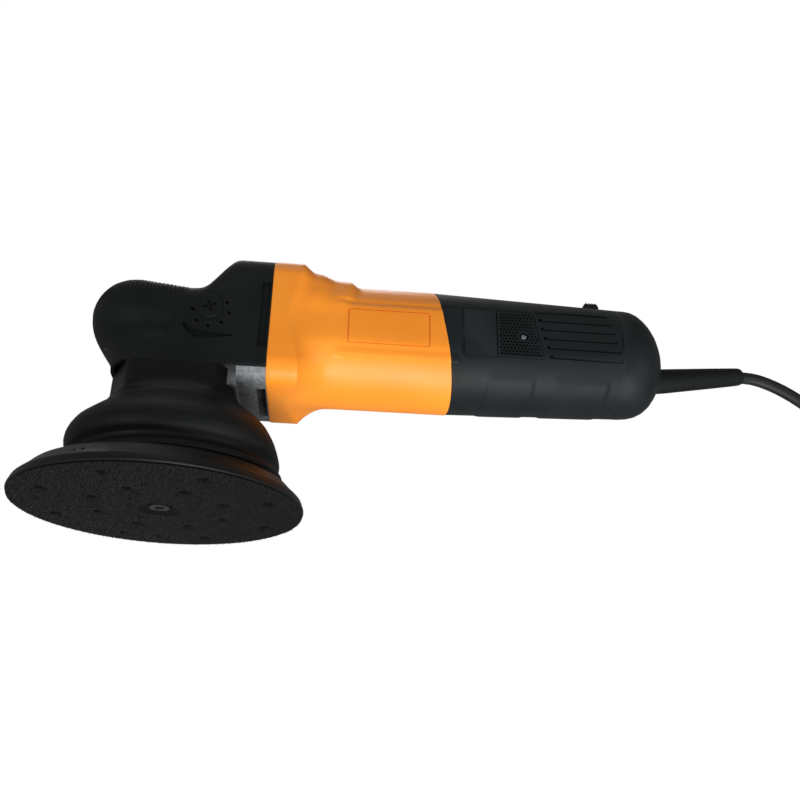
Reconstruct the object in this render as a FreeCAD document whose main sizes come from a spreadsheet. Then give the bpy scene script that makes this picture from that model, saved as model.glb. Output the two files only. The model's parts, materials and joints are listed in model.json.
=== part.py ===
"""Dual action polisher: a corded orbital machine with a 150 mm backing plate.

Lengths are in millimetres. The origin is on the spindle axis, in the plane of the
hook face; +Z runs up the spindle and +X runs back along the handle.
"""
import FreeCAD, Part
import math
import os
import Sketcher

DOC = FreeCAD.newDocument("polisher")
SHEET = DOC.addObject("Spreadsheet::Sheet", "Sizes")
PIECES = []


# --- sizes ---------------------------------------------------------------------------


def plain(number):
    """A number as the text that an expression takes."""
    return f"({number:.6f})"


class Size:
    """A length that carries its number and the expression that gives it."""

    def __init__(self, value, text):
        self.value = float(value)
        self.text = text

    def __add__(self, other):
        other = as_size(other)
        return Size(self.value + other.value, f"({self.text} + {other.text})")

    def __radd__(self, other):
        return as_size(other) + self

    def __sub__(self, other):
        other = as_size(other)
        return Size(self.value - other.value, f"({self.text} - {other.text})")

    def __rsub__(self, other):
        return as_size(other) - self

    def __mul__(self, factor):
        return Size(self.value * factor, f"({self.text} * {plain(factor)})")

    def __rmul__(self, factor):
        return self * factor

    def __neg__(self):
        return self * -1


def as_size(value):
    """A Size as it is, or a plain number turned into one."""
    if isinstance(value, Size):
        return value
    return Size(value, plain(value))


def cell(alias, value):
    """Write one driving dimension to the sheet and return it as a Size."""
    cell.row += 1
    SHEET.set(f"A{cell.row}", alias)
    SHEET.set(f"B{cell.row}", f"{value:g}")
    SHEET.setAlias(f"B{cell.row}", alias)
    return Size(value, f"Sizes.{alias}")


cell.row = 0

# backing plate and orbit
pad_radius = cell("pad_radius", 75)
hook_thick = cell("hook_thick", 1.5)
foam_top = cell("foam_top", 6)
core_top = cell("core_top", 12.6)
centre_recess = cell("centre_recess", 9.2)
vent_ring_outer = cell("vent_ring_outer", 59)
vent_ring_inner = cell("vent_ring_inner", 35)
vent_hole = cell("vent_hole", 3)
orbit_radius = cell("orbit_radius", 10.5)
rest_phase = cell("rest_phase", 135)
carrier_shaft = cell("carrier_shaft", 5.97)
orbit_bearing_low = cell("orbit_bearing_low", 17)
orbit_bearing_wide = cell("orbit_bearing_wide", 8)
orbit_bearing_bore = cell("orbit_bearing_bore", 6)
orbit_bearing_outer = cell("orbit_bearing_outer", 14)
orbit_bearing_step = cell("orbit_bearing_step", 10)
cup_radius = cell("cup_radius", 18.5)
cup_top = cell("cup_top", 42)
weight_radius = cell("weight_radius", 41)
weight_low = cell("weight_low", 22)
weight_high = cell("weight_high", 37)

# spindle and bevel pair
spindle_radius = cell("spindle_radius", 6)
spindle_top = cell("spindle_top", 108)
spindle_neck = cell("spindle_neck", 5)
hub_top = cell("hub_top", 56)
low_bearing_z = cell("low_bearing_z", 60)
low_bearing_wide = cell("low_bearing_wide", 10)
low_bearing_outer = cell("low_bearing_outer", 16)
motor_axis = cell("motor_axis", 97)
gear_pitch = cell("gear_pitch", 24)
gear_teeth = cell("gear_teeth", 36)
pinion_teeth = cell("pinion_teeth", 12)
tooth_face = cell("tooth_face", 8)

# gear case, head cover and shroud
case_half = cell("case_half", 29)
case_front = cell("case_front", -32)
case_low = cell("case_low", 58)
case_high = cell("case_high", 111)
flange_start = cell("flange_start", 29)
split_line = cell("split_line", 34)
housing_front = cell("housing_front", 44)
collar_half = cell("collar_half", 36.5)
collar_corner = cell("collar_corner", 12)
flange_half = cell("flange_half", 33.5)
cover_low = cell("cover_low", 67)
nose_centre = cell("nose_centre", -18)
shroud_wall = cell("shroud_wall", 3)
lip_radius = cell("lip_radius", 55)
lip_low = cell("lip_low", 14.2)

# motor housing, handle and bumper
collar_rear = cell("collar_rear", 57)
barrel_front = cell("barrel_front", 80)
barrel_radius = cell("barrel_radius", 34.5)
barrel_bore = cell("barrel_bore", 31.7)
seam_x = cell("seam_x", 137.5)
seam_tilt = cell("seam_tilt", 9.6)
handle_front_radius = cell("handle_front_radius", 34.3)
handle_rear_radius = cell("handle_rear_radius", 31.6)
handle_wall = cell("handle_wall", 2.6)
handle_flat = cell("handle_flat", 30.5)
bumper_front = cell("bumper_front", 237)
bumper_radius = cell("bumper_radius", 32)
body_rear = cell("body_rear", 268.6)
door_low = cell("door_low", 83)
door_high = cell("door_high", 111)
door_thick = cell("door_thick", 2)
groove_width = cell("groove_width", 2.2)

# motor
shaft_radius = cell("shaft_radius", 5)
front_bearing_x = cell("front_bearing_x", 34.6)
front_bearing_outer = cell("front_bearing_outer", 15)
rear_bearing_x = cell("rear_bearing_x", 168)
rear_bearing_outer = cell("rear_bearing_outer", 11)
rear_bearing_bore = cell("rear_bearing_bore", 4)
stator_front = cell("stator_front", 82)
stator_rear = cell("stator_rear", 130)
stator_bore = cell("stator_bore", 19.6)
armature_radius = cell("armature_radius", 19)
commutator_x = cell("commutator_x", 146)
commutator_radius = cell("commutator_radius", 12)
brush_x = cell("brush_x", 151)

# controls and cord
slider_x = cell("slider_x", 223.4)
slider_top = cell("slider_top", 133.4)
slider_travel = cell("slider_travel", 5)
dial_x = cell("dial_x", 212)
dial_y = cell("dial_y", 21.5)
dial_radius = cell("dial_radius", 11)
relief_x = cell("relief_x", 240)
relief_z = cell("relief_z", 84.9)
relief_length = cell("relief_length", 78.4)
relief_tilt = cell("relief_tilt", 7.2)
cord_diameter = cell("cord_diameter", 7)
coil_x = cell("coil_x", 415)
coil_y = cell("coil_y", -55.2)
coil_mid_radius = cell("coil_mid_radius", 42)
coil_side = cell("coil_side", 28)

DOC.recompute()

ZERO = Size(0, "(0)")
phase = math.radians(rest_phase.value)
pad_x = orbit_radius * math.cos(phase)
pad_y = orbit_radius * math.sin(phase)
PAD_AT = (pad_x, pad_y, ZERO)
ARMATURE_AT = (ZERO, ZERO, motor_axis)
RATIO = gear_teeth.value / pinion_teeth.value


# --- building blocks -----------------------------------------------------------------


def vector(x=0.0, y=0.0, z=0.0):
    return FreeCAD.Vector(float(x), float(y), float(z))


X_AXIS = vector(1, 0, 0)
Y_AXIS = vector(0, 1, 0)
Z_AXIS = vector(0, 0, 1)


def keep(piece, label):
    """List a finished object as one named piece of the machine."""
    piece.Label = label
    PIECES.append(piece)
    return piece


def place(item, at):
    """Bind an object's position to the sheet."""
    for axis, length in zip("xyz", at):
        item.setExpression(f"Placement.Base.{axis}", as_size(length).text)
    return item


def tie(sketch, geometry, end, x, y):
    """Fix one point of a sketch by its distances from the sketch's origin."""
    for kind, length in (("DistanceX", x), ("DistanceY", y)):
        rule = Sketcher.Constraint(kind, -1, 1, geometry, end, length.value)
        index = sketch.addConstraint(rule)
        sketch.setExpression(f"Constraints[{index}]", length.text)


def outline(sketch, points):
    """Draw a closed outline of straight edges, every corner tied to the sheet."""
    corners = [(as_size(x), as_size(y)) for x, y in points]
    first = sketch.GeometryCount
    for here, there in zip(corners, corners[1:] + corners[:1]):
        start = vector(here[0].value, here[1].value)
        end = vector(there[0].value, there[1].value)
        sketch.addGeometry(Part.LineSegment(start, end))
    for index, (x, y) in enumerate(corners):
        before = first + (index - 1) % len(corners)
        sketch.addConstraint(Sketcher.Constraint("Coincident", before, 2, first + index, 1))
        tie(sketch, first + index, 1, x, y)


def circle(sketch, x, y, radius):
    """Draw a circle whose centre and radius come from the sheet."""
    x, y, radius = as_size(x), as_size(y), as_size(radius)
    shape = Part.Circle(vector(x.value, y.value), Z_AXIS, radius.value)
    index = sketch.addGeometry(shape)
    tie(sketch, index, 3, x, y)
    rule = sketch.addConstraint(Sketcher.Constraint("Radius", index, radius.value))
    sketch.setExpression(f"Constraints[{rule}]", radius.text)


def new_body(name):
    return DOC.addObject("PartDesign::Body", name)


def new_sketch(body, plane, offset=None):
    """A sketch on one of the body's own planes, moved along its normal by offset."""
    sketch = body.newObject("Sketcher::SketchObject", f"{body.Name}_sketch")
    support = [item for item in body.Origin.OriginFeatures if item.Role == f"{plane}_Plane"]
    sketch.AttachmentSupport = [(support[0], "")]
    sketch.MapMode = "FlatFace"
    if offset is not None:
        sketch.setExpression("AttachmentOffset.Base.z", as_size(offset).text)
    return sketch


def revolve(name, points, axis="Z", at=None):
    """A turned body. Points are (radius, height) about Z, or (along, radius) about X."""
    body = new_body(name)
    sketch = new_sketch(body, "XZ")
    outline(sketch, points)
    feature = body.newObject("PartDesign::Revolution", f"{name}_turned")
    feature.Profile = sketch
    feature.ReferenceAxis = (sketch, ["V_Axis" if axis == "Z" else "H_Axis"])
    feature.Angle = 360
    if at is not None:
        place(body, at)
    return body


def extrude(name, plane, points, start, length, circles=()):
    """A straight body: an outline on a plane, raised from start by length."""
    body = new_body(name)
    sketch = new_sketch(body, plane, start)
    if points:
        outline(sketch, points)
    for x, y, radius in circles:
        circle(sketch, x, y, radius)
    feature = body.newObject("PartDesign::Pad", f"{name}_pad")
    feature.Profile = sketch
    feature.setExpression("Length", as_size(length).text)
    return body


def drill(body, plane, circles):
    """Cut round holes right through a body, along the plane's normal."""
    sketch = new_sketch(body, plane)
    for x, y, radius in circles:
        circle(sketch, x, y, radius)
    feature = body.newObject("PartDesign::Pocket", f"{body.Name}_holes")
    feature.Profile = sketch
    feature.Type = "ThroughAll"
    feature.SideType = "Symmetric"
    return body


def box(name, low, high):
    """A block between two corners, all six sides tied to the sheet."""
    item = DOC.addObject("Part::Box", name)
    low = [as_size(value) for value in low]
    high = [as_size(value) for value in high]
    for side, a, b in zip(("Length", "Width", "Height"), low, high):
        item.setExpression(side, (b - a).text)
    return place(item, low)


def rod(name, radius, start, length, axis="Z"):
    """A cylinder from start, running along +X, +Y or +Z."""
    item = DOC.addObject("Part::Cylinder", name)
    item.setExpression("Radius", as_size(radius).text)
    item.setExpression("Height", as_size(length).text)
    turn = {"X": FreeCAD.Rotation(Y_AXIS, 90), "Y": FreeCAD.Rotation(X_AXIS, -90)}
    item.Placement.Rotation = turn.get(axis, FreeCAD.Rotation())
    return place(item, start)


def cut(name, base, *tools):
    """Take the tools away from the base."""
    for number, tool in enumerate(tools):
        result = DOC.addObject("Part::Cut", f"{name}_cut{number}")
        result.Base = base
        result.Tool = tool
        base = result
    return base


def fuse(name, *items):
    """Join objects into one solid."""
    result = DOC.addObject("Part::MultiFuse", f"{name}_joined")
    result.Shapes = list(items)
    result.Refine = True
    return result


def common(name, first, second):
    """The space that two objects share."""
    result = DOC.addObject("Part::Common", f"{name}_shared")
    result.Base = first
    result.Tool = second
    return result


def group(name, items):
    """Separate solids that share one node."""
    result = DOC.addObject("Part::Compound", f"{name}_group")
    result.Links = list(items)
    return result


def computed(name, shape):
    """An object whose shape comes from the code below and the sheet's numbers."""
    item = DOC.addObject("Part::Feature", name)
    item.Shape = shape
    return item


def rounded_square(half, corner, x):
    """A rounded square wire across the motor axis, with eight edges."""
    flat = half - corner
    bend = corner * math.sin(math.pi / 4)
    edges = []
    for quarter in range(4):
        spin = FreeCAD.Rotation(X_AXIS, 90 * quarter)
        straight = [vector(x, half, -flat), vector(x, half, flat)]
        middle = vector(x, flat + bend, flat + bend)
        end = vector(x, flat, half)
        straight = [spin.multVec(p) for p in straight]
        arc = Part.Arc(straight[1], spin.multVec(middle), spin.multVec(end))
        edges.append(Part.LineSegment(*straight).toShape())
        edges.append(arc.toShape())
    return Part.Wire(edges)


def split_circle(radius, half, corner, x):
    """A circle cut where the rounded square's edges begin, so the two can be lofted."""
    flat_angle = math.atan2(half - corner, half)
    marks = []
    for quarter in range(4):
        middle = quarter * math.pi / 2
        marks += [middle - flat_angle, middle + flat_angle]
    marks.append(marks[0] + 2 * math.pi)

    def at(angle):
        return vector(x, radius * math.cos(angle), radius * math.sin(angle))

    pairs = zip(marks, marks[1:])
    return Part.Wire([Part.Arc(at(a), at((a + b) / 2), at(b)).toShape() for a, b in pairs])


def square_prism(name, half, corner, start, end):
    """A rounded-square block along the motor axis."""
    wire = rounded_square(half.value, corner.value, start.value)
    solid = Part.Face(wire).extrude(vector(end.value - start.value))
    item = computed(name, solid)
    item.Placement.Base = vector(0, 0, motor_axis.value)
    return item


def bearing(name, bore, outer, start, width, axis, at):
    """One ball bearing: outer ring, and inner ring with its balls, as two objects."""
    radius_step = outer - bore
    track = bore + radius_step * 0.5
    ball = radius_step.value * 0.26
    clearance = 0.06
    middle = start + width * 0.5
    rings = []
    for part, near, far in (("outer", track + ball * 0.72, outer), ("inner", bore, track - ball * 0.72)):
        end = start + width
        if axis == "Z":
            points = [(near, start), (far, start), (far, end), (near, end)]
        else:
            points = [(start, near), (end, near), (end, far), (start, far)]
        ring = revolve(f"{name}_{part}_blank", points, axis)
        groove = DOC.addObject("Part::Torus", f"{name}_{part}_track")
        groove.setExpression("Radius1", track.text)
        groove.Radius2 = ball + clearance
        if axis == "X":
            groove.Placement.Rotation = FreeCAD.Rotation(Y_AXIS, 90)
            place(groove, (middle, 0, 0))
        else:
            place(groove, (0, 0, middle))
        rings.append(cut(f"{name}_{part}", ring, groove))
    balls = []
    count = 8
    for number in range(count):
        angle = 2 * math.pi * number / count
        ball_item = DOC.addObject("Part::Sphere", f"{name}_ball{number}")
        ball_item.Radius = ball
        a, b = track * math.cos(angle), track * math.sin(angle)
        place(ball_item, (a, b, middle) if axis == "Z" else (middle, a, b))
        balls.append(ball_item)
    inner = group(f"{name}_inner", [rings[1]] + balls)
    place(inner, at)
    place(rings[0], at)
    return rings[0], inner


def screws(name, head, shank, length, places, axis):
    """Cap screws as separate solids; places are the undersides of the heads."""
    items = []
    for number, (x, y, z, sign) in enumerate(places):
        along = vector(*[sign if letter == axis else 0 for letter in "XYZ"])
        turn = FreeCAD.Rotation(Z_AXIS, along)
        cap = Part.makeCylinder(head, head * 0.9)
        socket = Part.makeCylinder(head * 0.5, head * 0.5, vector(0, 0, head * 0.4))
        stem = Part.makeCylinder(shank, length, vector(0, 0, -length))
        solid = cap.cut(socket).fuse(stem)
        item = computed(f"{name}_{number}", solid)
        item.Placement = FreeCAD.Placement(vector(x, y, z), turn)
        items.append(item)
    return group(name, items)


# --- backing plate -------------------------------------------------------------------


def vent_circles():
    """Two rings of eight holes through the backing plate."""
    holes = []
    for number in range(8):
        angle = math.radians(28 + 45 * number)
        for ring in (vent_ring_outer, vent_ring_inner):
            holes.append((ring * math.cos(angle), ring * math.sin(angle), vent_hole))
    return holes


def backing_plate():
    face = [
        (centre_recess, 0),
        (pad_radius, 0),
        (pad_radius, hook_thick),
        (centre_recess, hook_thick),
    ]
    keep(drill(revolve("hook_face", face, at=PAD_AT), "XY", vent_circles()), "hook_face")
    foam = [
        (centre_recess, hook_thick),
        (pad_radius - 0.6, hook_thick),
        (pad_radius - 2.4, foam_top),
        (centre_recess, foam_top),
    ]
    keep(drill(revolve("plate_foam", foam, at=PAD_AT), "XY", vent_circles()), "plate_foam")
    core = [
        (4.3, foam_top),
        (pad_radius - 2.6, foam_top),
        (pad_radius - 5, foam_top + 1.6),
        (pad_radius - 17, core_top),
        (30, core_top),
        (24, core_top - 2.4),
        (16, core_top - 2.4),
        (13, core_top + 0.8),
        (4.3, core_top + 0.8),
    ]
    keep(drill(revolve("plate_core", core, at=PAD_AT), "XY", vent_circles()), "plate_core")
    washer = [(4.3, 4.6), (8.6, 4.6), (8.6, foam_top), (4.3, foam_top)]
    keep(revolve("plate_washer", washer, at=PAD_AT), "plate_washer")
    bolt = [(0, 1.6), (5.2, 1.6), (5.2, 4.6), (4, 4.6), (4, 24), (0, 24)]
    socket = extrude("bolt_socket", "XY", hexagon(2.9), 1, 2.6)
    place(socket, PAD_AT)
    keep(cut("centre_bolt", revolve("bolt_blank", bolt, at=PAD_AT), socket), "centre_bolt")
    foot = core_top + 0.8
    carrier = [
        (4.05, foot),
        (12, foot),
        (12, 15.8),
        (7.4, 15.8),
        (7.4, orbit_bearing_low),
        (carrier_shaft, orbit_bearing_low),
        (carrier_shaft, 35.5),
        (5.5, 35.5),
        (5.5, 36.6),
        (carrier_shaft, 36.6),
        (carrier_shaft, 37.5),
        (0, 37.5),
        (0, 25),
        (4.05, 25),
    ]
    keep(revolve("plate_carrier", carrier, at=PAD_AT), "plate_carrier")
    ring = [(5.55, 35.55), (8.4, 35.55), (8.4, 36.55), (5.55, 36.55)]
    gap = box("ring_gap", (0, -2, 35), (10, 2, 37))
    place(gap, (pad_x, pad_y - 2, 35))
    keep(cut("retaining_ring", revolve("ring_blank", ring, at=PAD_AT), gap), "retaining_ring")


def hexagon(radius):
    """Six corners on a circle."""
    angles = [math.radians(60 * number) for number in range(6)]
    return [(radius * math.cos(a), radius * math.sin(a)) for a in angles]


def orbit_bearings():
    """A pair of bearings lets the plate turn freely in the eccentric cup."""
    outers, inners = [], []
    for number in range(2):
        start = orbit_bearing_low + orbit_bearing_step * number
        outer, inner = bearing(
            f"orbit{number}", orbit_bearing_bore, orbit_bearing_outer - 0.02, start,
            orbit_bearing_wide, "Z", PAD_AT,
        )
        outers.append(outer)
        inners.append(inner)
    keep(group("orbit_outer", outers), "orbit_bearing_outer")
    keep(group("orbit_inner", inners), "orbit_bearing_inner")


def counterweight():
    """The eccentric cup, its hub on the spindle and the mass that balances it."""
    hub = rod("weight_hub", 13, (0, 0, cup_top - 3), hub_top - cup_top + 3)
    cup = rod("weight_cup", cup_radius, (pad_x, pad_y, 16.4), cup_top - 16.4)
    disc = rod("weight_disc", weight_radius, (0, 0, weight_low), weight_high - weight_low)
    half = box("weight_half", (0, -60, 0), (60, 60, 60))
    half.Placement.Rotation = FreeCAD.Rotation(Z_AXIS, rest_phase.value - 180)
    side = vector(math.cos(phase - math.pi), math.sin(phase - math.pi))
    corner = half.Placement.Rotation.multVec(vector(0, -60, 0)) + side * 5
    place(half, (corner.x, corner.y, 0))
    mass = common("weight_mass", disc, half)
    solid = fuse("weight", hub, cup, mass)
    pocket = rod("weight_pocket", orbit_bearing_outer, (pad_x, pad_y, 16), 20)
    relief = rod("weight_relief", 12, (pad_x, pad_y, 35), 3.6)
    bore = rod("weight_bore", spindle_radius, (0, 0, 38.6), 20)
    piece = cut("counterweight", solid, pocket, relief, bore)
    keep(piece, "counterweight")


# --- spindle and bevel pair ----------------------------------------------------------


def tooth(name, up):
    """One straight bevel tooth at the mesh point; up=1 on the crown gear, -1 on the pinion."""
    pitch = gear_pitch.value
    module = 2 * pitch / gear_teeth.value
    depth = pitch / RATIO
    cone = math.hypot(pitch, depth)
    normal = vector(depth, 0, pitch) * (up / cone)
    mesh = vector(pitch, 0, motor_axis.value - depth)
    apex = vector(0, 0, motor_axis.value)
    tip, root = 0.85 * module, -1.55 * module
    half_tip, half_root = 0.27 * module, 1.12 * module

    def section(scale):
        corners = []
        for height, half in ((root, half_root), (tip, half_tip)):
            for side in (1, -1):
                offset = normal * height + Y_AXIS * (half * side)
                corners.append(apex + (mesh + offset - apex) * scale)
        order = [corners[0], corners[1], corners[3], corners[2], corners[0]]
        return Part.makePolygon(order)

    inner = (cone - tooth_face.value) / cone
    return Part.makeLoft([section(1.0), section(inner)], True, True)


def toothed(name, blank, single, count, offset, centre, axis):
    """A gear: the turned blank with its teeth arranged about the axis."""
    teeth = []
    for number in range(count):
        copy = single.copy()
        copy.rotate(centre, axis, offset + 360.0 * number / count)
        teeth.append(copy)
    item = computed(name, blank.Shape.multiFuse(teeth).removeSplitter())
    return item


def bevel_pair():
    module = 2 * gear_pitch.value / gear_teeth.value
    root = 1.25 * module
    lean = math.atan(1 / RATIO)
    back = gear_pitch - root * math.sin(lean)
    back_z = motor_axis - gear_pitch * (1 / RATIO) - root * math.cos(lean)
    inner = 1 - tooth_face.value * math.cos(lean) / gear_pitch.value
    toe = back * inner
    toe_z = motor_axis - (motor_axis - back_z) * inner
    blank = [
        (spindle_radius, 78),
        (20.5, 78),
        (22.6, 83),
        (back, back_z),
        (toe, toe_z),
        (toe - 2.4, toe_z - 0.4),
        (12, toe_z + 1),
        (spindle_radius, toe_z + 1),
    ]
    crown = revolve("crown_blank", blank)
    pinion_back = gear_pitch * (1 / RATIO) - root * math.cos(lean)
    pinion_x = gear_pitch + root * math.sin(lean)
    shape = [
        (pinion_x * inner, 3.02),
        (pinion_x * inner, pinion_back * inner),
        (pinion_x, pinion_back),
        (27.5, 8.2),
        (28.8, 7.4),
        (28.8, 3.02),
    ]
    pinion = revolve("pinion_blank", shape, "X", ARMATURE_AT)
    DOC.recompute()
    half_pitch = 180.0 / gear_teeth.value
    centre = vector(0, 0, motor_axis.value)
    teeth = int(gear_teeth.value)
    wheel = toothed("crown_teeth", crown, tooth("crown", 1), teeth, half_pitch, centre, Z_AXIS)
    keep(wheel, "crown_gear")
    teeth = int(pinion_teeth.value)
    small = toothed("pinion_teeth_solid", pinion, tooth("pinion", -1), teeth, 0, centre, X_AXIS)
    keep(small, "bevel_pinion")


def spindle():
    r = spindle_radius - 0.02
    points = [
        (0, 40),
        (r, 40),
        (r, 70.02),
        (8.4, 70.02),
        (8.4, 77.98),
        (r, 77.98),
        (r, 98),
        (spindle_neck - 0.04, 98),
        (spindle_neck - 0.04, spindle_top),
        (0, spindle_top),
    ]
    keep(revolve("spindle_turned", points), "spindle")
    bush = [(spindle_neck, 99), (7, 99), (7, 107.4), (spindle_neck, 107.4)]
    keep(revolve("top_bush", bush), "spindle_top_bush")
    outer, inner = bearing(
        "low", spindle_radius, low_bearing_outer - 0.02, low_bearing_z, low_bearing_wide,
        "Z", (ZERO, ZERO, ZERO),
    )
    keep(outer, "spindle_bearing_outer")
    keep(inner, "spindle_bearing_inner")


# --- gear case, head cover and shroud ------------------------------------------------


def case_plan(gap):
    """The gear case's outline from above, grown by gap."""
    side = case_half + gap
    front = case_front - gap
    return [
        (flange_start + gap, -side),
        (flange_start + gap, side),
        (-20, side),
        (front, side - 12),
        (front, 12 - side),
        (-20, -side),
    ]


def gear_case(bolts, clamp_bolts):
    """Cast case: spindle bearing below, crown gear chamber, bush boss above, motor side flange."""
    block = extrude("case_block", "XY", case_plan(0), case_low, case_high - case_low)
    nose_plan = [(-30, -20), (-30, 20), (-38, 20), (-42, 15), (-42, -15), (-38, -20)]
    nose = extrude("case_nose", "XY", nose_plan, 80, 28)
    rim = square_prism("case_rim", flange_half, collar_corner - 2, flange_start, split_line)
    wide = square_prism("case_wide", collar_half - 0.4, collar_corner, flange_start, split_line)
    below = box("case_below", (0, -50, 50), (60, 50, cover_low - 0.6))
    foot = common("case_foot", wide, below)
    chamber = rod("case_chamber", 26.3, (0, 0, 72), 27)
    roof = rod("case_roof", 14, (0, 0, 98), 1.5)
    seat = rod("case_seat", low_bearing_outer, (0, 0, low_bearing_z), 13)
    mouth = rod("case_mouth", 14.2, (0, 0, 57), 4)
    bush_bore = rod("case_bush_bore", 7.0, (0, 0, 98), 10.2)
    tunnel = rod("case_tunnel", 10.8, (8, 0, motor_axis), 30, "X")
    throat = rod("case_throat", 15, (30.5, 0, motor_axis), 10, "X")
    solid = fuse("case", block, nose, rim, foot)
    rooms = (chamber, roof, seat, mouth, bush_bore, tunnel, throat)
    keep(cut("case", solid, *rooms, bolts, clamp_bolts), "gear_case")


def gear_case_flange(bolts):
    """Plate between the gear case and the motor housing, with exhaust windows on four sides."""
    rim = square_prism("flange_rim", flange_half, collar_corner - 2, split_line, housing_front)
    wide = square_prism("flange_wide", collar_half - 0.4, collar_corner, split_line, housing_front)
    below = box("flange_below", (30, -50, 50), (60, 50, cover_low - 0.6))
    solid = fuse("flange", rim, common("flange_foot", wide, below))
    seat = rod("flange_seat", front_bearing_outer, (front_bearing_x, 0, motor_axis), 12, "X")
    hole = rod("flange_hole", 11.5, (30, 0, motor_axis), 12, "X")
    back = rod("flange_back", 27, (40.5, 0, motor_axis), 6, "X")
    boss = rod("flange_boss", 17.6, (38, 0, motor_axis), 10, "X")
    windows = []
    for number in range(4):
        window = box(f"flange_window{number}", (0, 0, 0), (5, 38, 12))
        spin = FreeCAD.Rotation(X_AXIS, 90 * number)
        window.Placement.Rotation = spin
        corner = spin.multVec(vector(0, -19, 25.5))
        place(window, (38.6, corner.y, motor_axis + corner.z))
        windows.append(window)
    ring = cut("flange_ring", back, boss)
    keep(cut("flange", solid, hole, seat, ring, *windows, bolts), "gear_case_flange")


COVER_SIDE = [
    (44, 67),
    (44, 133.5),
    (19.5, 133.5),
    (13, 126),
    (6, 117.5),
    (-2, 114.5),
    (-12, 116.2),
    (-26, 121),
    (-42, 121.8),
    (-50, 119),
    (-54.5, 112),
    (-54.5, 97),
    (-51.5, 87.5),
    (-46, 80.5),
    (-39, 76),
    (-38, 67),
]


def head_cover():
    """Rubber cover over the gear case, with the front grip and a ramp up to the collar."""
    half = collar_half
    side = extrude("cover_side", "XZ", COVER_SIDE, -half, half * 2)
    plan_rod = rod("cover_round", half, (nose_centre, 0, 60), 90)
    plan_box = box("cover_long", (nose_centre, -half, 60), (housing_front, half, 150))
    body = common("cover_body", side, fuse("cover_plan", plan_rod, plan_box))
    bevel_up = [(-half, 60), (half, 60), (half, 123.5), (half - 10, 134), (10 - half, 134), (-half, 123.5)]
    body = common("cover_bevel", body, extrude("cover_section", "YZ", bevel_up, -60, 120))
    gap = 0.5
    h = case_half + gap
    room = box("cover_room", (case_front - gap, -h, 60), (housing_front, h, case_high + gap))
    nose = box("cover_nose", (-42.5, -20.5, 60), (-30, 20.5, 108.5))
    rim_start = flange_start - 4.5
    rim = square_prism("cover_rim", flange_half + 0.3, collar_corner - 2, rim_start, housing_front + 1)
    pieces = [room, nose, rim]
    for sign in (-1, 1):
        low, high = sorted((sign * (half.value + 1), sign * (half.value - 1.4)))
        pieces.append(rod(f"cover_recess{sign + 1}", 7.4, (12.6, low, 99), high - low, "Y"))
    for sign in (-1, 1):
        low, high = sorted((sign * 30.0, sign * 40.0))
        pieces.append(box(f"cover_notch{sign + 1}", (39, low, 77), (45, high, 117)))
    below = box("cover_open", (flange_start - 0.5, -40, 60), (45, 40, 72))
    shell = cut("cover", body, *pieces)
    sides = fuse(
        "cover_sides",
        box("cover_side0", (28, -half, cover_low), (44, -33.9, 72)),
        box("cover_side1", (28, 33.9, cover_low), (44, half, 72)),
    )
    skirt = common("cover_skirt", below, sides)
    keep(cut("cover_trim", shell, cut("cover_inside", below, skirt)), "head_cover")
    caps = []
    for sign in (-1, 1):
        face = sign * (half.value + 0.1)
        low, high = sorted((face, face - sign * 1.5))
        disc = rod(f"cap_disc{sign + 1}", 7.4, (12.6, low, 99), high - low, "Y")
        slot_low, slot_high = sorted((face + sign, face - sign * 0.6))
        slots = []
        for number, tilt in enumerate((20, 110)):
            slot = box(f"cap_slot{sign + 1}{number}", (0, 0, 0), (9, slot_high - slot_low, 2.2))
            spin = FreeCAD.Rotation(Y_AXIS, tilt)
            slot.Placement.Rotation = spin
            corner = spin.multVec(vector(-4.5, 0, -1.1))
            place(slot, (12.6 + corner.x, slot_low, 99 + corner.z))
            slots.append(slot)
        caps.append(cut(f"cap{sign + 1}", disc, *slots))
    keep(group("cover_caps", caps), "cover_screw_caps")


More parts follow.
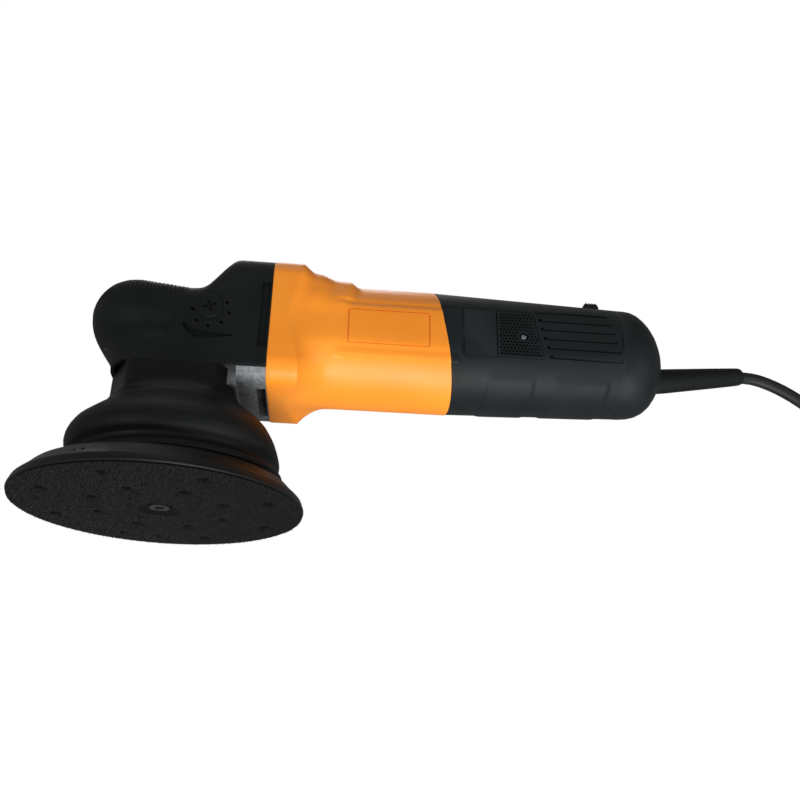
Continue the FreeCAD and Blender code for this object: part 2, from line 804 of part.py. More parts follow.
def shroud(clamp_bolts):
    """Skirt round the orbit head: a flat-sided neck that flares to a round rim."""
    skin = [
        (38.4, 67),
        (38.4, 56),
        (42, 52.8),
        (45.4, 47.6),
        (51, 42),
        (55, 36.8),
        (56.8, 30),
        (56, 23.6),
        (53, 21.4),
        (53, 18.4),
    ]
    wall = shroud_wall
    inner = [(r - wall, z) for r, z in skin]
    low = inner[-1][1]
    outer_solid = revolve("shroud_outer", [(0, low)] + skin[::-1] + [(0, 67)])
    inner_points = [(0, low - 0.5), (inner[-1][0], low - 0.5)]
    inner_points += inner[::-1][1:-1]
    inner_points += [(inner[0][0], 67.5), (0, 67.5)]
    inner_solid = revolve("shroud_inner", inner_points)
    neck_box = fuse(
        "shroud_limits",
        box("shroud_neck_box", (-60, -collar_half, 50), (28.2, collar_half, 70)),
        box("shroud_skirt_box", (-60, -60, 0), (60, 60, 56)),
    )
    slope = [(-70, 0), (57, 0), (57, 24), (53, 30), (47, 42.5), (41, 48.5), (28.2, 57)]
    slope += [(28.2, 70), (-70, 70)]
    rear = extrude("shroud_rear", "XZ", slope, -60, 120)
    outside = common("shroud_a", common("shroud_b", outer_solid, neck_box), rear)
    neck_room = fuse(
        "shroud_room",
        box("shroud_room_neck", (-60, wall - collar_half, 50), (25.6, collar_half - wall, 70)),
        box("shroud_room_skirt", (-60, -60, 0), (60, 60, 52.5)),
    )
    slope_room = [(-70, 0), (54, 0), (54, 24), (50, 29.2), (44.4, 40.6), (38.6, 46.2), (25.6, 54)]
    slope_room += [(25.6, 70), (-70, 70)]
    rear_room = extrude("shroud_rear_room", "XZ", slope_room, -60, 120)
    inside = common("shroud_c", common("shroud_d", inner_solid, neck_room), rear_room)
    passage = extrude("shroud_passage", "XY", case_plan(0.3), case_low - 0.1, 12)
    keep(cut("shroud", outside, inside, passage), "shroud")
    lip = [(49.5, lip_low), (lip_radius, lip_low), (lip_radius, 18.2), (49.5, 18.2)]
    keep(revolve("lip_ring", lip), "shroud_lip_ring")
    plate = [(20.5, 52.6), (33.2, 52.6), (33.2, 57.8), (14.4, 57.8), (14.4, 56.2), (20.5, 56.2)]
    ring = revolve("retainer_ring", plate)
    limit = box("retainer_limit", (-60, -33.2, 50), (25.2, 33.2, 60))
    keep(cut("retainer", common("retainer", ring, limit), clamp_bolts), "shroud_clamp_plate")


# --- motor housing -------------------------------------------------------------------


def seam_block(name, rear):
    """The space in front of, or behind, the tilted seam between housing and handle."""
    item = box(name, (0, 0, 0), (200, 200, 260))
    spin = FreeCAD.Rotation(Y_AXIS, -seam_tilt.value)
    item.Placement.Rotation = spin
    corner = spin.multVec(vector(0 if rear else -200, -100, -130))
    place(item, (seam_x + corner.x, corner.y, motor_axis + corner.z))
    return item


def motor_housing():
    collar = square_prism("housing_collar", collar_half, collar_corner, housing_front, collar_rear)
    args = (collar_half.value, collar_corner.value)
    start = rounded_square(*args, collar_rear.value)
    end = split_circle(barrel_radius.value, *args, barrel_front.value)
    blend = computed("housing_blend", Part.makeLoft([start, end], True, True))
    blend.Placement.Base = vector(0, 0, motor_axis.value)
    barrel = rod("housing_barrel", barrel_radius, (barrel_front, 0, motor_axis), 80, "X")
    solid = fuse("housing", collar, blend, barrel)
    front = seam_block("housing_seam", False)
    solid = common("housing_trim", solid, front)
    bore = rod("housing_bore", barrel_bore, (housing_front - 1, 0, motor_axis), 120, "X")
    room_half = collar_half - 2.8
    room_corner = collar_corner - 2.5
    room = square_prism("housing_room", room_half, room_corner, housing_front - 1, collar_rear + 2)
    panels = []
    for sign in (-1, 1):
        low, high = sorted((sign * 33.7, sign * 40.0))
        panels.append(box(f"housing_panel{sign + 1}", (85, low, 85), (129, high, 105.5)))
    keep(cut("housing", solid, bore, room, *panels), "motor_housing")


# --- handle --------------------------------------------------------------------------


def handle_radius(x):
    """The handle tapers evenly from the seam to the bumper."""
    rise = (x - seam_x.value) / (bumper_front.value - seam_x.value)
    return handle_front_radius.value + (handle_rear_radius.value - handle_front_radius.value) * rise


def handle_solid(name, wall):
    """The handle's outer form, made smaller by wall."""
    start, end = 125.0, bumper_front
    points = [
        (start, 0),
        (start, handle_radius(start) - wall),
        (end, handle_rear_radius - wall),
        (end, 0),
    ]
    turned = revolve(f"{name}_turned", points, "X", ARMATURE_AT)
    flat = handle_flat - wall
    sides = box(f"{name}_sides", (120, -flat, 40), (end, flat, 150))
    nose = box(f"{name}_front", (120, -60, 40), (145.5, 60, 150))
    return common(name, turned, fuse(f"{name}_limits", sides, nose))


def vent_cover_plan():
    low = door_low + 0.2
    high = door_high - 0.2
    return [(166.2, low), (191.6, low), (186, high), (166.2, high)]


GROOVES = [
    (111, 187.5, 229.2),
    (105.6, 189, 231),
    (100.2, 190.4, 232.2),
    (94.6, 191.7, 233.3),
    (89, 193.2, 234.9),
    (83.6, 194.6, 236),
]


def handle_shells():
    """Two shells that meet in the plane of the spindle axis."""
    outer = handle_solid("handle_outer", 0)
    inner = handle_solid("handle_inner", handle_wall)
    rear = seam_block("handle_seam", True)
    hollow = common("handle_cut", cut("handle_hollow", outer, inner), rear)
    for sign, label in ((-1, "handle_shell_near"), (1, "handle_shell_far")):
        low, high = sorted((0.0, sign * 60.0))
        half = common(f"{label}_half", hollow, box(f"{label}_side", (100, low, 20), (260, high, 160)))
        tools = []
        wall_low, wall_high = sorted((sign * (handle_flat.value - door_thick.value), sign * 40.0))
        tools.append(box(f"{label}_door", (147.8, wall_low, door_low), (166, wall_high, door_high)))
        tools.append(box(f"{label}_tab", (145.8, wall_low, 92), (148.4, wall_high, 101)))
        plan = [(166, door_low), (192, door_low), (186.4, door_high), (166, door_high)]
        window = extrude(f"{label}_window", "XZ", plan, -wall_high, wall_high - wall_low)
        tools.append(window)
        deep_low, deep_high = sorted((sign * 20.0, sign * 40.0))
        tools.append(box(f"{label}_opening", (169, deep_low, 86), (183, deep_high, 108)))
        tools.append(box(f"{label}_brush_port", (150, deep_low, 91), (163, deep_high, 103)))
        for number, (z, front, back) in enumerate(GROOVES):
            if sign > 0 and 93 < z < 102:
                continue
            corner = (back, deep_high, groove_width + z)
            tools.append(box(f"{label}_groove{number}", (front, deep_low, z), corner))
        low, high = sorted((0.0, sign * 3.6))
        tools.append(box(f"{label}_switch", (219.2, low, 120), (231.9, high, 140)))
        if sign > 0:
            tools.append(box(f"{label}_dial_slot", (dial_x - 10, 20, 94.3), (dial_x + 10, 40, 100.7)))
        keep(cut(label, half, *tools), label)


def side_covers():
    """Brush door and perforated vent cover on each side of the handle."""
    vents = []
    doors = []
    for sign, side in ((-1, "near"), (1, "far")):
        outer = sign * handle_flat.value
        inner = outer - sign * (door_thick.value - 0.05)
        low, high = sorted((inner, outer))
        panel = box(f"door_panel_{side}", (148, low, door_low + 0.2), (165.8, high, door_high - 0.2))
        tab = box(f"door_tab_{side}", (146, low, 92.2), (148, high, 100.8))
        doors.append(keep(fuse(f"door_{side}", panel, tab), f"brush_door_{side}"))
        body = extrude(f"vent_{side}", "XZ", vent_cover_plan(), -high, high - low)
        holes = [(180.9, 96, 1.7)]
        pitch = 2.8
        for row in range(9):
            for column in range(9):
                x = 168.2 + column * pitch + (row % 2) * pitch / 2
                z = 85.6 + row * pitch
                clear_of_screw = math.hypot(x - 180.9, z - 96) > 4.6
                inside = x < 190.2 - (z - 83) * 0.2
                if clear_of_screw and inside:
                    holes.append((x, z, 0.8))
        vents.append(keep(drill(body, "XZ", holes), f"vent_cover_{side}"))
    heads = []
    for sign in (-1, 1):
        y = sign * (handle_flat.value - 1.2)
        heads.append((180.9, y, 96, sign))
    return heads


def cover_screws(places):
    """One countersunk screw for each vent cover, into a post in the handle."""
    items = []
    for number, (x, y, z, sign) in enumerate(places):
        turn = FreeCAD.Rotation(Z_AXIS, Y_AXIS * sign)
        stem = Part.makeCylinder(1.5, 9, vector(0, 0, -9))
        head = Part.makeCone(1.5, 1.65, 1.1)
        item = computed(f"vent_screw{number}", head.fuse(stem))
        item.Placement = FreeCAD.Placement(vector(x, y, z), turn)
        items.append(item)
    keep(group("vent_screws", items), "vent_cover_screws")


def rear_bumper():
    """Domed rubber cap that closes the handle and holds the strain relief."""
    skin = [
        (bumper_front, bumper_radius),
        (250.5, bumper_radius - 0.6),
        (256, 28.6),
        (261, 24),
        (264.8, 18),
        (267.4, 10.5),
        (body_rear, 3),
        (body_rear, 0),
    ]
    outer = revolve("bumper_outer", [(bumper_front, 0)] + skin, "X", ARMATURE_AT)
    room = [(236, 0), (236, 28.4), (249.5, 28.2), (254.6, 25.6), (259, 21.4)]
    room += [(262.2, 16), (264.4, 9), (264.8, 0)]
    inner = revolve("bumper_inner", room, "X", ARMATURE_AT)
    hole = rod("bumper_hole", 7.5, (relief_x, 0, relief_z), 60, "X")
    hole.Placement.Rotation = FreeCAD.Rotation(Z_AXIS, relief_direction())
    keep(cut("bumper", outer, inner, hole), "rear_bumper")


# --- motor ---------------------------------------------------------------------------


def armature():
    r = shaft_radius - 0.03
    points = [
        (13, 0),
        (13, 2.98),
        (29, 2.98),
        (29, r),
        (front_bearing_x + 12, r),
        (front_bearing_x + 12, 6.5),
        (60, 6.5),
        (60, r),
        (164, r),
        (164, rear_bearing_bore - 0.03),
        (178, rear_bearing_bore - 0.03),
        (178, 0),
    ]
    keep(revolve("armature_shaft_turned", points, "X", ARMATURE_AT), "armature_shaft")
    core = revolve(
        "armature_core_blank",
        [
            (stator_front + 2, r),
            (stator_rear - 2, r),
            (stator_rear - 2, armature_radius),
            (stator_front + 2, armature_radius),
        ],
        "X",
    )
    sketch = new_sketch(core, "YZ")
    slot_shape = [(13.5, -1.1), (17.8, -1.6), (17.8, -0.6), (19.5, -0.6)]
    slot_shape += [(19.5, 0.6), (17.8, 0.6), (17.8, 1.6), (13.5, 1.1)]
    outline(sketch, slot_shape)
    slot = core.newObject("PartDesign::Pocket", "armature_slot")
    slot.Profile = sketch
    slot.Type = "ThroughAll"
    slot.SideType = "Symmetric"
    pattern = core.newObject("PartDesign::PolarPattern", "armature_slots")
    pattern.Originals = [slot]
    pattern.Axis = (sketch, ["N_Axis"])
    pattern.Angle = 360
    pattern.Occurrences = 12
    core.Tip = pattern
    place(core, ARMATURE_AT)
    keep(core, "armature_core")
    front, rear = stator_front + 1.9, stator_rear - 1.9
    near = [(74.5, 5.6), (front, 5.6), (front, 17.4), (76.5, 15.4), (74.5, 12)]
    far = [(rear, 5.6), (138.5, 5.6), (138.5, 12), (136.5, 15.4), (rear, 17.4)]
    coils = []
    for number, shape in enumerate((near, far)):
        coils.append(revolve(f"winding{number}", shape, "X", ARMATURE_AT))
    keep(group("windings", coils), "armature_windings")
    c = commutator_x
    points = [(c, 5.03), (c + 18, 5.03), (c + 18, commutator_radius)]
    points += [(c + 2.4, commutator_radius), (c + 2.4, 14), (c, 14)]
    keep(revolve("commutator_turned", points, "X", ARMATURE_AT), "commutator")


def cooling_fan():
    hub = [(48, 6.55), (60, 6.55), (60, 10), (52, 10), (50, 30), (48, 30)]
    disc = revolve("fan_disc", hub, "X", ARMATURE_AT)
    blades = []
    for number in range(12):
        blade = box(f"fan_blade{number}", (0, 0, 0), (9.5, 1.2, 18))
        spin = FreeCAD.Rotation(X_AXIS, 30 * number)
        blade.Placement.Rotation = spin
        corner = spin.multVec(vector(0, -0.6, 11.8))
        place(blade, (49.5, corner.y, motor_axis + corner.z))
        blades.append(blade)
    keep(fuse("fan", disc, *blades), "cooling_fan")
    baffle = [(61, 22), (63, 22), (63, 26), (68, 31), (68, 31.4), (61, 31.4)]
    keep(revolve("fan_baffle_turned", baffle, "X", ARMATURE_AT), "fan_baffle")


def stator():
    """Laminated ring with two poles, and a field coil wound round each pole."""
    start = (stator_front, 0, motor_axis)
    ring = rod("stator_ring", barrel_bore - 0.05, start, stator_rear - stator_front, "X")
    bore = rod("stator_tunnel", stator_bore, (60, 0, motor_axis), 100, "X")
    room = rod("coil_room", stator_bore + 0.3, (60, 0, motor_axis), 100, "X")
    slots, coils = [], []
    for number, sign in enumerate((-1, 1)):
        low, high = sorted((sign * 14.6, sign * 21.4))
        bars = []
        for side in (-1, 1):
            near, far = sorted((side * 16.8, side * 21.4))
            name = f"{number}{side + 1}"
            corner = (stator_front - 1, near, motor_axis + low)
            slots.append(box(f"stator_slot{name}", corner, (stator_rear + 1, far, motor_axis + high)))
            near, far = sorted((side * 17.3, side * 21))
            corner = (70, near, motor_axis + low + 0.4)
            bars.append(box(f"coil_leg{name}", corner, (141, far, motor_axis + high - 0.4)))
        low, high = sorted((sign * 16.0, sign * 27.0))
        for front in (70, 131.5):
            corner = (front, -20.9, motor_axis + low)
            far_corner = (front + 9.5, 20.9, motor_axis + high)
            bars.append(box(f"coil_end{number}_{int(front)}", corner, far_corner))
        limit = rod(f"coil_limit{number}", barrel_bore - 0.6, (60, 0, motor_axis), 100, "X")
        loop = cut(f"coil{number}", fuse(f"coil{number}", *bars), room)
        coils.append(common(f"coil{number}", loop, limit))
    keep(cut("stator", ring, bore, *slots), "stator_core")
    keep(group("field", coils), "field_coils")


def motor_bearings():
    outer, inner = bearing(
        "front", shaft_radius, front_bearing_outer - 0.02, front_bearing_x, Size(9, "(9)"),
        "X", ARMATURE_AT,
    )
    keep(outer, "armature_front_bearing_outer")
    keep(inner, "armature_front_bearing_inner")
    outer, inner = bearing(
        "rear", rear_bearing_bore, rear_bearing_outer - 0.02, rear_bearing_x, Size(7, "(7)"),
        "X", ARMATURE_AT,
    )
    keep(outer, "armature_rear_bearing_outer")
    keep(inner, "armature_rear_bearing_inner")


def brush_gear():
    """Bridge with the rear bearing seat, two holders, two brushes and their springs."""
    ring = revolve("bridge_ring", [(142, 23.4), (146, 23.4), (146, 27.4), (142, 27.4)], "X", ARMATURE_AT)
    seat_points = [(167, 8.5), (176.5, 8.5), (176.5, 14.5), (170, 27.4), (166, 27.4)]
    seat_points += [(166, 14.5), (167, 14)]
    seat = revolve("bridge_seat", seat_points, "X", ARMATURE_AT)
    pocket = rod("bridge_pocket", rear_bearing_outer, (168, 0, motor_axis), 12, "X")
    ribs = []
    for number in range(4):
        rib = box(f"bridge_rib{number}", (0, 0, 0), (26, 7, 3.6))
        spin = FreeCAD.Rotation(X_AXIS, 45 + 90 * number)
        rib.Placement.Rotation = spin
        corner = spin.multVec(vector(0, -3.5, 23.6))
        place(rib, (143, corner.y, motor_axis + corner.z))
        ribs.append(rib)
    keep(cut("bridge", fuse("bridge", ring, seat, *ribs), pocket), "brush_bridge")
    holders, brushes, springs = [], [], []
    for sign in (-1, 1):
        y = sorted((sign * 14.6, sign * 26.4))
        z = motor_axis - 5.4
        outer = box(f"holder{sign + 1}", (brush_x, y[0], z), (brush_x + 10, y[1], z + 10.8))
        channel = sorted((sign * 13.0, sign * 28.0))
        low_corner = (brush_x + 1.3, channel[0], z + 1.3)
        inner = box(f"holder_room{sign + 1}", low_corner, (brush_x + 8.7, channel[1], z + 9.5))
        holders.append(cut(f"holder_tube{sign + 1}", outer, inner))
        y = sorted((sign * 12.3, sign * 21.0))
        brush = box(f"brush{sign + 1}", (brush_x + 1.5, y[0], z + 1.5), (brush_x + 8.5, y[1], z + 9.3))
        brushes.append(brush)
        for turn in range(3):
            coil = DOC.addObject("Part::Torus", f"brush_spring{sign + 1}{turn}")
            coil.Radius1 = 2.4
            coil.Radius2 = 0.35
            coil.Placement.Rotation = FreeCAD.Rotation(X_AXIS, 90)
            place(coil, (brush_x + 5, sign * (21.8 + 1.3 * turn), motor_axis))
            springs.append(coil)
    keep(group("holders", holders + springs), "brush_holders")
    keep(group("brushes", brushes), "carbon_brushes")


# --- controls ------------------------------------------------------------------------


def controls():
    keep(box("switch_box", (206, -8, 106), (236, 8, 120)), "switch_body")
    x = slider_x
    foot = box("slider_foot", (x - 0.4, -6, 120.35), (x + 9.6, 6, 122.8))
    neck = box("slider_neck", (x + 1.4, -2.6, 122), (x + 7.4, 2.6, 130.5))
    ramp = [(x, 129.9), (x + 9, 129.9), (x + 9, 130.8), (x + 7.6, slider_top)]
    ramp += [(x + 1.6, slider_top), (x, 131.4)]
    cap = extrude("slider_cap", "XZ", ramp, -8, 16)
    keep(fuse("slider", foot, neck, cap), "switch_slider")
    body = extrude("dial_body", "XY", None, 95.2, 4.8, circles=[(dial_x, dial_y, dial_radius)])
    notches = []
    for number in range(24):
        angle = math.radians(15 * number)
        r = dial_radius + 0.2
        notches.append((dial_x + r * math.cos(angle), dial_y + r * math.sin(angle), 0.7))
    dial = drill(body, "XY", notches)
    stem = rod("dial_stem", 1.8, (dial_x, dial_y, 88), 8)
    keep(fuse("dial", dial, stem), "speed_dial")
    board = box("board_plate", (180, -20, 80), (228, 23.4, 81.6))
    pot = rod("board_pot", 3, (dial_x, dial_y, 81), 6.6)
    hole = rod("board_pot_hole", 2.0, (dial_x, dial_y, 83), 8)
    heat_sink = box("board_sink", (184, -16, 81), (198, -4, 92))
    keep(cut("board", fuse("board", board, pot, heat_sink), hole), "control_board")


# --- strain relief, cord and plug ----------------------------------------------------


def relief_direction():
    lean = math.radians(relief_tilt.value)
    return vector(math.cos(lean), 0, math.sin(lean))


def relief_end():
    """Where the cord leaves the strain relief."""
    return vector(relief_x.value, 0, relief_z.value) + relief_direction() * relief_length.value


def strain_relief():
    """Tapered rubber sleeve with a flange inside the bumper."""
    profile = [
        (0, 0),
        (0, 5.6),
        (16, 5.6),
        (16, 9.6),
        (19, 9.6),
        (19, 7.3),
        (31, 7.1),
        (74, 5.2),
        (77.4, 4.9),
        (relief_length, 4.2),
        (relief_length, 0),
    ]
    relief = revolve("relief_turned", profile, "X", (relief_x, 0, relief_z))
    relief.Placement.Rotation = FreeCAD.Rotation(Y_AXIS, -relief_tilt.value)
    DOC.recompute()
    return relief


def cord_clamp():
    """Saddle that grips the relief's tail inside the handle."""
    base = box("clamp_base", (241.5, -14, 77.3), (248.5, 14, 80.2))
    strap = box("clamp_strap", (241.5, -14, 80.2), (248.5, 14, 94))
    hole = rod("clamp_hole", 5.65, (relief_x, 0, relief_z), 20, "X")
    hole.Placement.Rotation = FreeCAD.Rotation(Z_AXIS, relief_direction())
    keep(cut("clamp", fuse("clamp", base, strap), hole), "cord_clamp")


# The cord's route: from inside the strain relief down to the coil's top outer turn.
CORD_ROUTE = [
    (335.6, 0, 90.9),
    (350, 0, 83),
    (363, 0, 72.6),
    (376, 0, 58.5),
    (389, -0.3, 42.6),
    (402.5, -1.5, 31.2),
    (418, -4, 25),
    (433, -8.6, 23.8),
]

# The plug's end: from the coil's lowest outer turn round to the back of the plug.
TAIL_ROUTE = [
    (367.5, -66, 3.6),
    (364.6, -48, 3.6),
    (364.5, -29, 3.6),
    (367.5, -10, 3.7),
    (374.5, 8, 4.3),
    (386, 23.5, 5.6),
    (400, 34.5, 7.6),
    (416.5, 41, 9.6),
]
PLUG_HEADING = 21.5


def tube_path(points):
    """Straight runs joined by tangent arcs, and the arcs' radii."""
    corners = [vector(*p) for p in points]
    edges, radii = [], []
    start = corners[0]
    for before, here, after in zip(corners, corners[1:], corners[2:]):
        back, ahead = before - here, after - here
        shorter = min(back.Length, ahead.Length)
        half_turn = (math.pi - back.getAngle(ahead)) / 2
        reach = 0.45 * shorter
        radii.append(reach / math.tan(half_turn))
        back.normalize()
        ahead.normalize()
        enter, leave = here + back * reach, here + ahead * reach
        inward = back + ahead
        inward.normalize()
        middle = here + inward * (radii[-1] / math.cos(half_turn) - radii[-1])
        edges.append(Part.LineSegment(start, enter).toShape())
        edges.append(Part.Arc(enter, middle, leave).toShape())
        start = leave
    edges.append(Part.LineSegment(start, corners[-1]).toShape())
    return Part.Wire(edges), radii


def tube(name, points):
    """A round cord along a route, with its printed radii and volume check."""
    path, radii = tube_path(points)
    first = path.Edges[0]
    direction = first.tangentAt(first.FirstParameter)
    start = first.valueAt(first.FirstParameter)
    radius = cord_diameter.value / 2
    section = Part.Wire(Part.makeCircle(radius, start, direction))
    solid = path.makePipeShell([section], True, True)
    expected = math.pi * radius ** 2 * path.Length
    print(name, "length", round(path.Length, 1), "radii", [round(r, 1) for r in radii])
    print(name, "volume against section times length", round(solid.Volume / expected, 4))
    return solid


def coil_solid():
    """Outer form of the wound cord, lying flat."""
    half = coil_side.value / 2
    middle = coil_mid_radius.value
    soft = 2.0
    points = [
        (middle - half, soft),
        (middle - half + soft, 0),
        (middle + half - soft, 0),
        (middle + half, soft),
        (middle + half, coil_side.value - soft),
        (middle + half - soft, coil_side.value),
        (middle - half + soft, coil_side.value),
        (middle - half, coil_side.value - soft),
    ]
    return revolve("coil_turned", points, "Z", (coil_x, coil_y, 0))


def plug():
    """Two-pin plug: waisted body, tail and two round pins, lying on its flat side."""
    plan = [(-12, 20), (12, 20), (18, 31), (18, 46), (13, 52), (-13, 52), (-18, 46), (-18, 31)]
    head = extrude("plug_head", "XY", plan, -9.4, 18.8)
    tail = revolve("plug_tail", [(0, 0), (4.8, 0), (5.6, 2), (8.8, 22), (0, 22)])
    tail.Placement.Rotation = FreeCAD.Rotation(X_AXIS, -90)
    solid = fuse("plug", head, tail)
    pins = [rod(f"pin{number}", 2.4, (side * 9.5, 52, 0), 19, "Y") for number, side in enumerate((-1, 1))]
    pair = group("pins", pins)
    turn = FreeCAD.Rotation(Z_AXIS, PLUG_HEADING - 90)
    for item, label in ((solid, "plug"), (pair, "plug_pins")):
        item.Placement = FreeCAD.Placement(vector(*TAIL_ROUTE[-1]), turn)
        keep(item, label)
    return solid


def cord():
    """The cord from the relief to the coil, the coil, and the short tail to the plug."""
    body = plug()
    coil = coil_solid()
    DOC.recompute()
    along = relief_direction()
    route = [tuple(relief_end() - along * 15), tuple(relief_end() + along * 2.5)] + CORD_ROUTE
    lead = tube("cord", route)
    relief = computed("relief_bored", strain_relief().Shape.cut(lead))
    keep(relief, "strain_relief")
    keep(computed("cord_tube", lead.cut(coil.Shape)), "cord")
    tail = tube("cord_tail", TAIL_ROUTE)
    keep(computed("cord_tail_tube", tail.cut(coil.Shape).cut(body.Shape)), "cord_tail")
    keep(coil, "cord_coil")


# --- fasteners -----------------------------------------------------------------------


def fasteners():
    """Screws through the gear case's flange, and screws through the shroud's clamp plate."""
    corners = [(y, z) for y in (-24.5, 24.5) for z in (-24.5, 24.5)]
    places = [(28.9, y, motor_axis.value + z, -1) for y, z in corners]
    bolts = keep(screws("case_screw", 3.4, 2.0, 14, places, "X"), "gear_case_screws")
    places = [(x, y, 52.5, -1) for x in (-18, 18) for y in (-22, 22)]
    clamp_bolts = keep(screws("clamp_screw", 3.0, 1.9, 12, places, "Z"), "shroud_clamp_screws")
    return bolts, clamp_bolts


def check_and_write():
    """Stop on any failed object or bad shape, then write one file for each piece."""
    DOC.recompute()
    for item in DOC.Objects:
        bad = [state for state in item.State if state in ("Invalid", "Error")]
        if bad:
            raise RuntimeError(f"{item.Label} failed: {item.State}")
    os.makedirs("parts", exist_ok=True)
    for piece in PIECES:
        shape = piece.Shape
        if shape.isNull() or not shape.isValid() or not shape.Solids:
            raise RuntimeError(f"{piece.Label} has a bad shape")
        print(f"{piece.Label:32s} solids {len(shape.Solids)} volume {shape.Volume:10.1f}")
        shape.exportStep(f"parts/{piece.Label}.step")


def main():
    backing_plate()
    orbit_bearings()
    counterweight()
    spindle()
    bevel_pair()
    bolts, clamp_bolts = fasteners()
    gear_case(bolts, clamp_bolts)
    gear_case_flange(bolts)
    head_cover()
    shroud(clamp_bolts)
    motor_housing()
    handle_shells()
    cover_screws(side_covers())
    rear_bumper()
    armature()
    cooling_fan()
    stator()
    motor_bearings()
    brush_gear()
    controls()
    cord_clamp()
    cord()
    check_and_write()


main()
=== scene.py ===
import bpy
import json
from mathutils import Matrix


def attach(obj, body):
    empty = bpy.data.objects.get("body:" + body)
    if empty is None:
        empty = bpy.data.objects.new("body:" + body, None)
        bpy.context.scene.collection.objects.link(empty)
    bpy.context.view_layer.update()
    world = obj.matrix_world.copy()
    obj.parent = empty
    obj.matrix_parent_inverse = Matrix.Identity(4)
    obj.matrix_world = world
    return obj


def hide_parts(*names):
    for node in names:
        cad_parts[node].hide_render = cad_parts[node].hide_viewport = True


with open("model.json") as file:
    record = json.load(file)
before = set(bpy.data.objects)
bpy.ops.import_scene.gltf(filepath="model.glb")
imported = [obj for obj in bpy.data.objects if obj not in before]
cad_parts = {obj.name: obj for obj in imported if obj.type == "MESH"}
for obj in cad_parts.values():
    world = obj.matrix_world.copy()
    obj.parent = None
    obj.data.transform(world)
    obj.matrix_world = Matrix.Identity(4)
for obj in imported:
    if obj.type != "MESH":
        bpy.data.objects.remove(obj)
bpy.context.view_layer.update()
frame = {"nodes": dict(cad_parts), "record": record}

import json
import math

import bmesh
import bpy
import numpy as np
from mathutils import Matrix, Vector

MM = 0.001
NODES = frame["nodes"]
LEFT_OVER = set(NODES)  # CAD nodes that no piece below replaces

# Main places, in millimetres, as in the CAD model.
MOTOR_Z = 97.0
PLATE_X, PLATE_Y = -7.425, 7.425
SEAM_X, SEAM_SLOPE = 137.5, 0.17
HANDLE_END = 237.0
RELIEF_FOOT = np.array([240.0, 0.0, 84.9])
RELIEF_LENGTH = 78.4
RELIEF_AXIS = np.array([math.cos(math.radians(7.2)), 0.0, math.sin(math.radians(7.2))])
RELIEF_END = RELIEF_FOOT + RELIEF_AXIS * RELIEF_LENGTH
ACROSS = np.array([0.0, 1.0, 0.0])
RELIEF_UP = np.cross(RELIEF_AXIS, ACROSS)
COLLAR_HALF = 36.5
COVER_BACK = 43.9
VENT_SCREW_X, VENT_SCREW_Z = 180.9, 96.0


# --- small maths -----------------------------------------------------------------------


def ease(low, high, x):
    """0 below low, 1 above high, smooth between."""
    t = np.clip((np.asarray(x, float) - low) / (high - low), 0, 1)
    return t * t * (3 - 2 * t)


def window(low, high, soft, x):
    """1 between low and high, falling to 0 over soft on either side."""
    return ease(low - soft, low, x) * (1 - ease(high, high + soft, x))


def bump(centre, width, x):
    return np.exp(-(((np.asarray(x, float) - centre) / width) ** 2))


def soft_min(power, *lengths):
    """The smallest of some lengths, with the corner between them rounded."""
    total = sum(np.asarray(length, float) ** -power for length in lengths)
    return total ** (-1.0 / power)


def rounded_square(angle, half, corner):
    """Distance from the centre of a rounded square to its edge."""
    c, s = np.abs(np.cos(angle)), np.abs(np.sin(angle))
    flat = half - corner
    side = half / np.maximum(c, s)
    along = flat * (c + s)
    arc = along + np.sqrt(np.maximum(along**2 - 2 * flat**2 + corner**2, 0))
    return np.where(side * np.minimum(c, s) <= flat, side, arc)


def full_turn(count):
    """Angles evenly round a circle."""
    return np.linspace(0, 2 * math.pi, count, endpoint=False)


def ring(centre, side, up, radius, count):
    """A circle of points about a centre, in the plane of two directions."""
    angle = full_turn(count)
    return centre + np.outer(np.cos(angle) * radius, side) + np.outer(np.sin(angle) * radius, up)


def on_side(sign, *depths):
    """Distances from the middle plane, put on one side of it and in rising order."""
    return sorted(sign * depth for depth in depths)


# --- mesh building -----------------------------------------------------------------------


def finish_mesh(obj, crease):
    """Smooth shading, with edges sharper than crease degrees kept sharp."""
    mesh = obj.data
    mesh.validate()
    mesh.polygons.foreach_set("use_smooth", [True] * len(mesh.polygons))
    mesh.set_sharp_from_angle(angle=math.radians(crease))
    mesh.update()


def build(name, points, faces):
    """An object from points in millimetres, joined up and facing outwards."""
    mesh = bpy.data.meshes.new(name)
    mesh.from_pydata([tuple(np.asarray(p, float) * MM) for p in points], [], faces)
    obj = bpy.data.objects.new(name, mesh)
    bpy.context.scene.collection.objects.link(obj)
    work = bmesh.new()
    work.from_mesh(mesh)
    bmesh.ops.remove_doubles(work, verts=work.verts, dist=1e-6)
    bmesh.ops.recalc_face_normals(work, faces=work.faces)
    middle = sum((v.co for v in work.verts), Vector()) / len(work.verts)
    outward = 0.0
    for face in work.faces:
        outward += (face.calc_center_median() - middle).dot(face.normal) * face.calc_area()
    if outward < 0:
        bmesh.ops.reverse_faces(work, faces=work.faces)
    work.to_mesh(mesh)
    work.free()
    return obj


def piece(name, points, faces, material, body="root", instead=(), crease=35):
    """A built object with its material, riding on a body and standing for CAD nodes."""
    obj = build(name, points, faces)
    mesh = obj.data
    finish_mesh(obj, crease)
    mesh.materials.append(material)
    mount(obj, body, instead)
    return obj


def mount(obj, body, instead=()):
    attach(obj, body)
    if instead:
        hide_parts(*instead)
        LEFT_OVER.difference_update(instead)


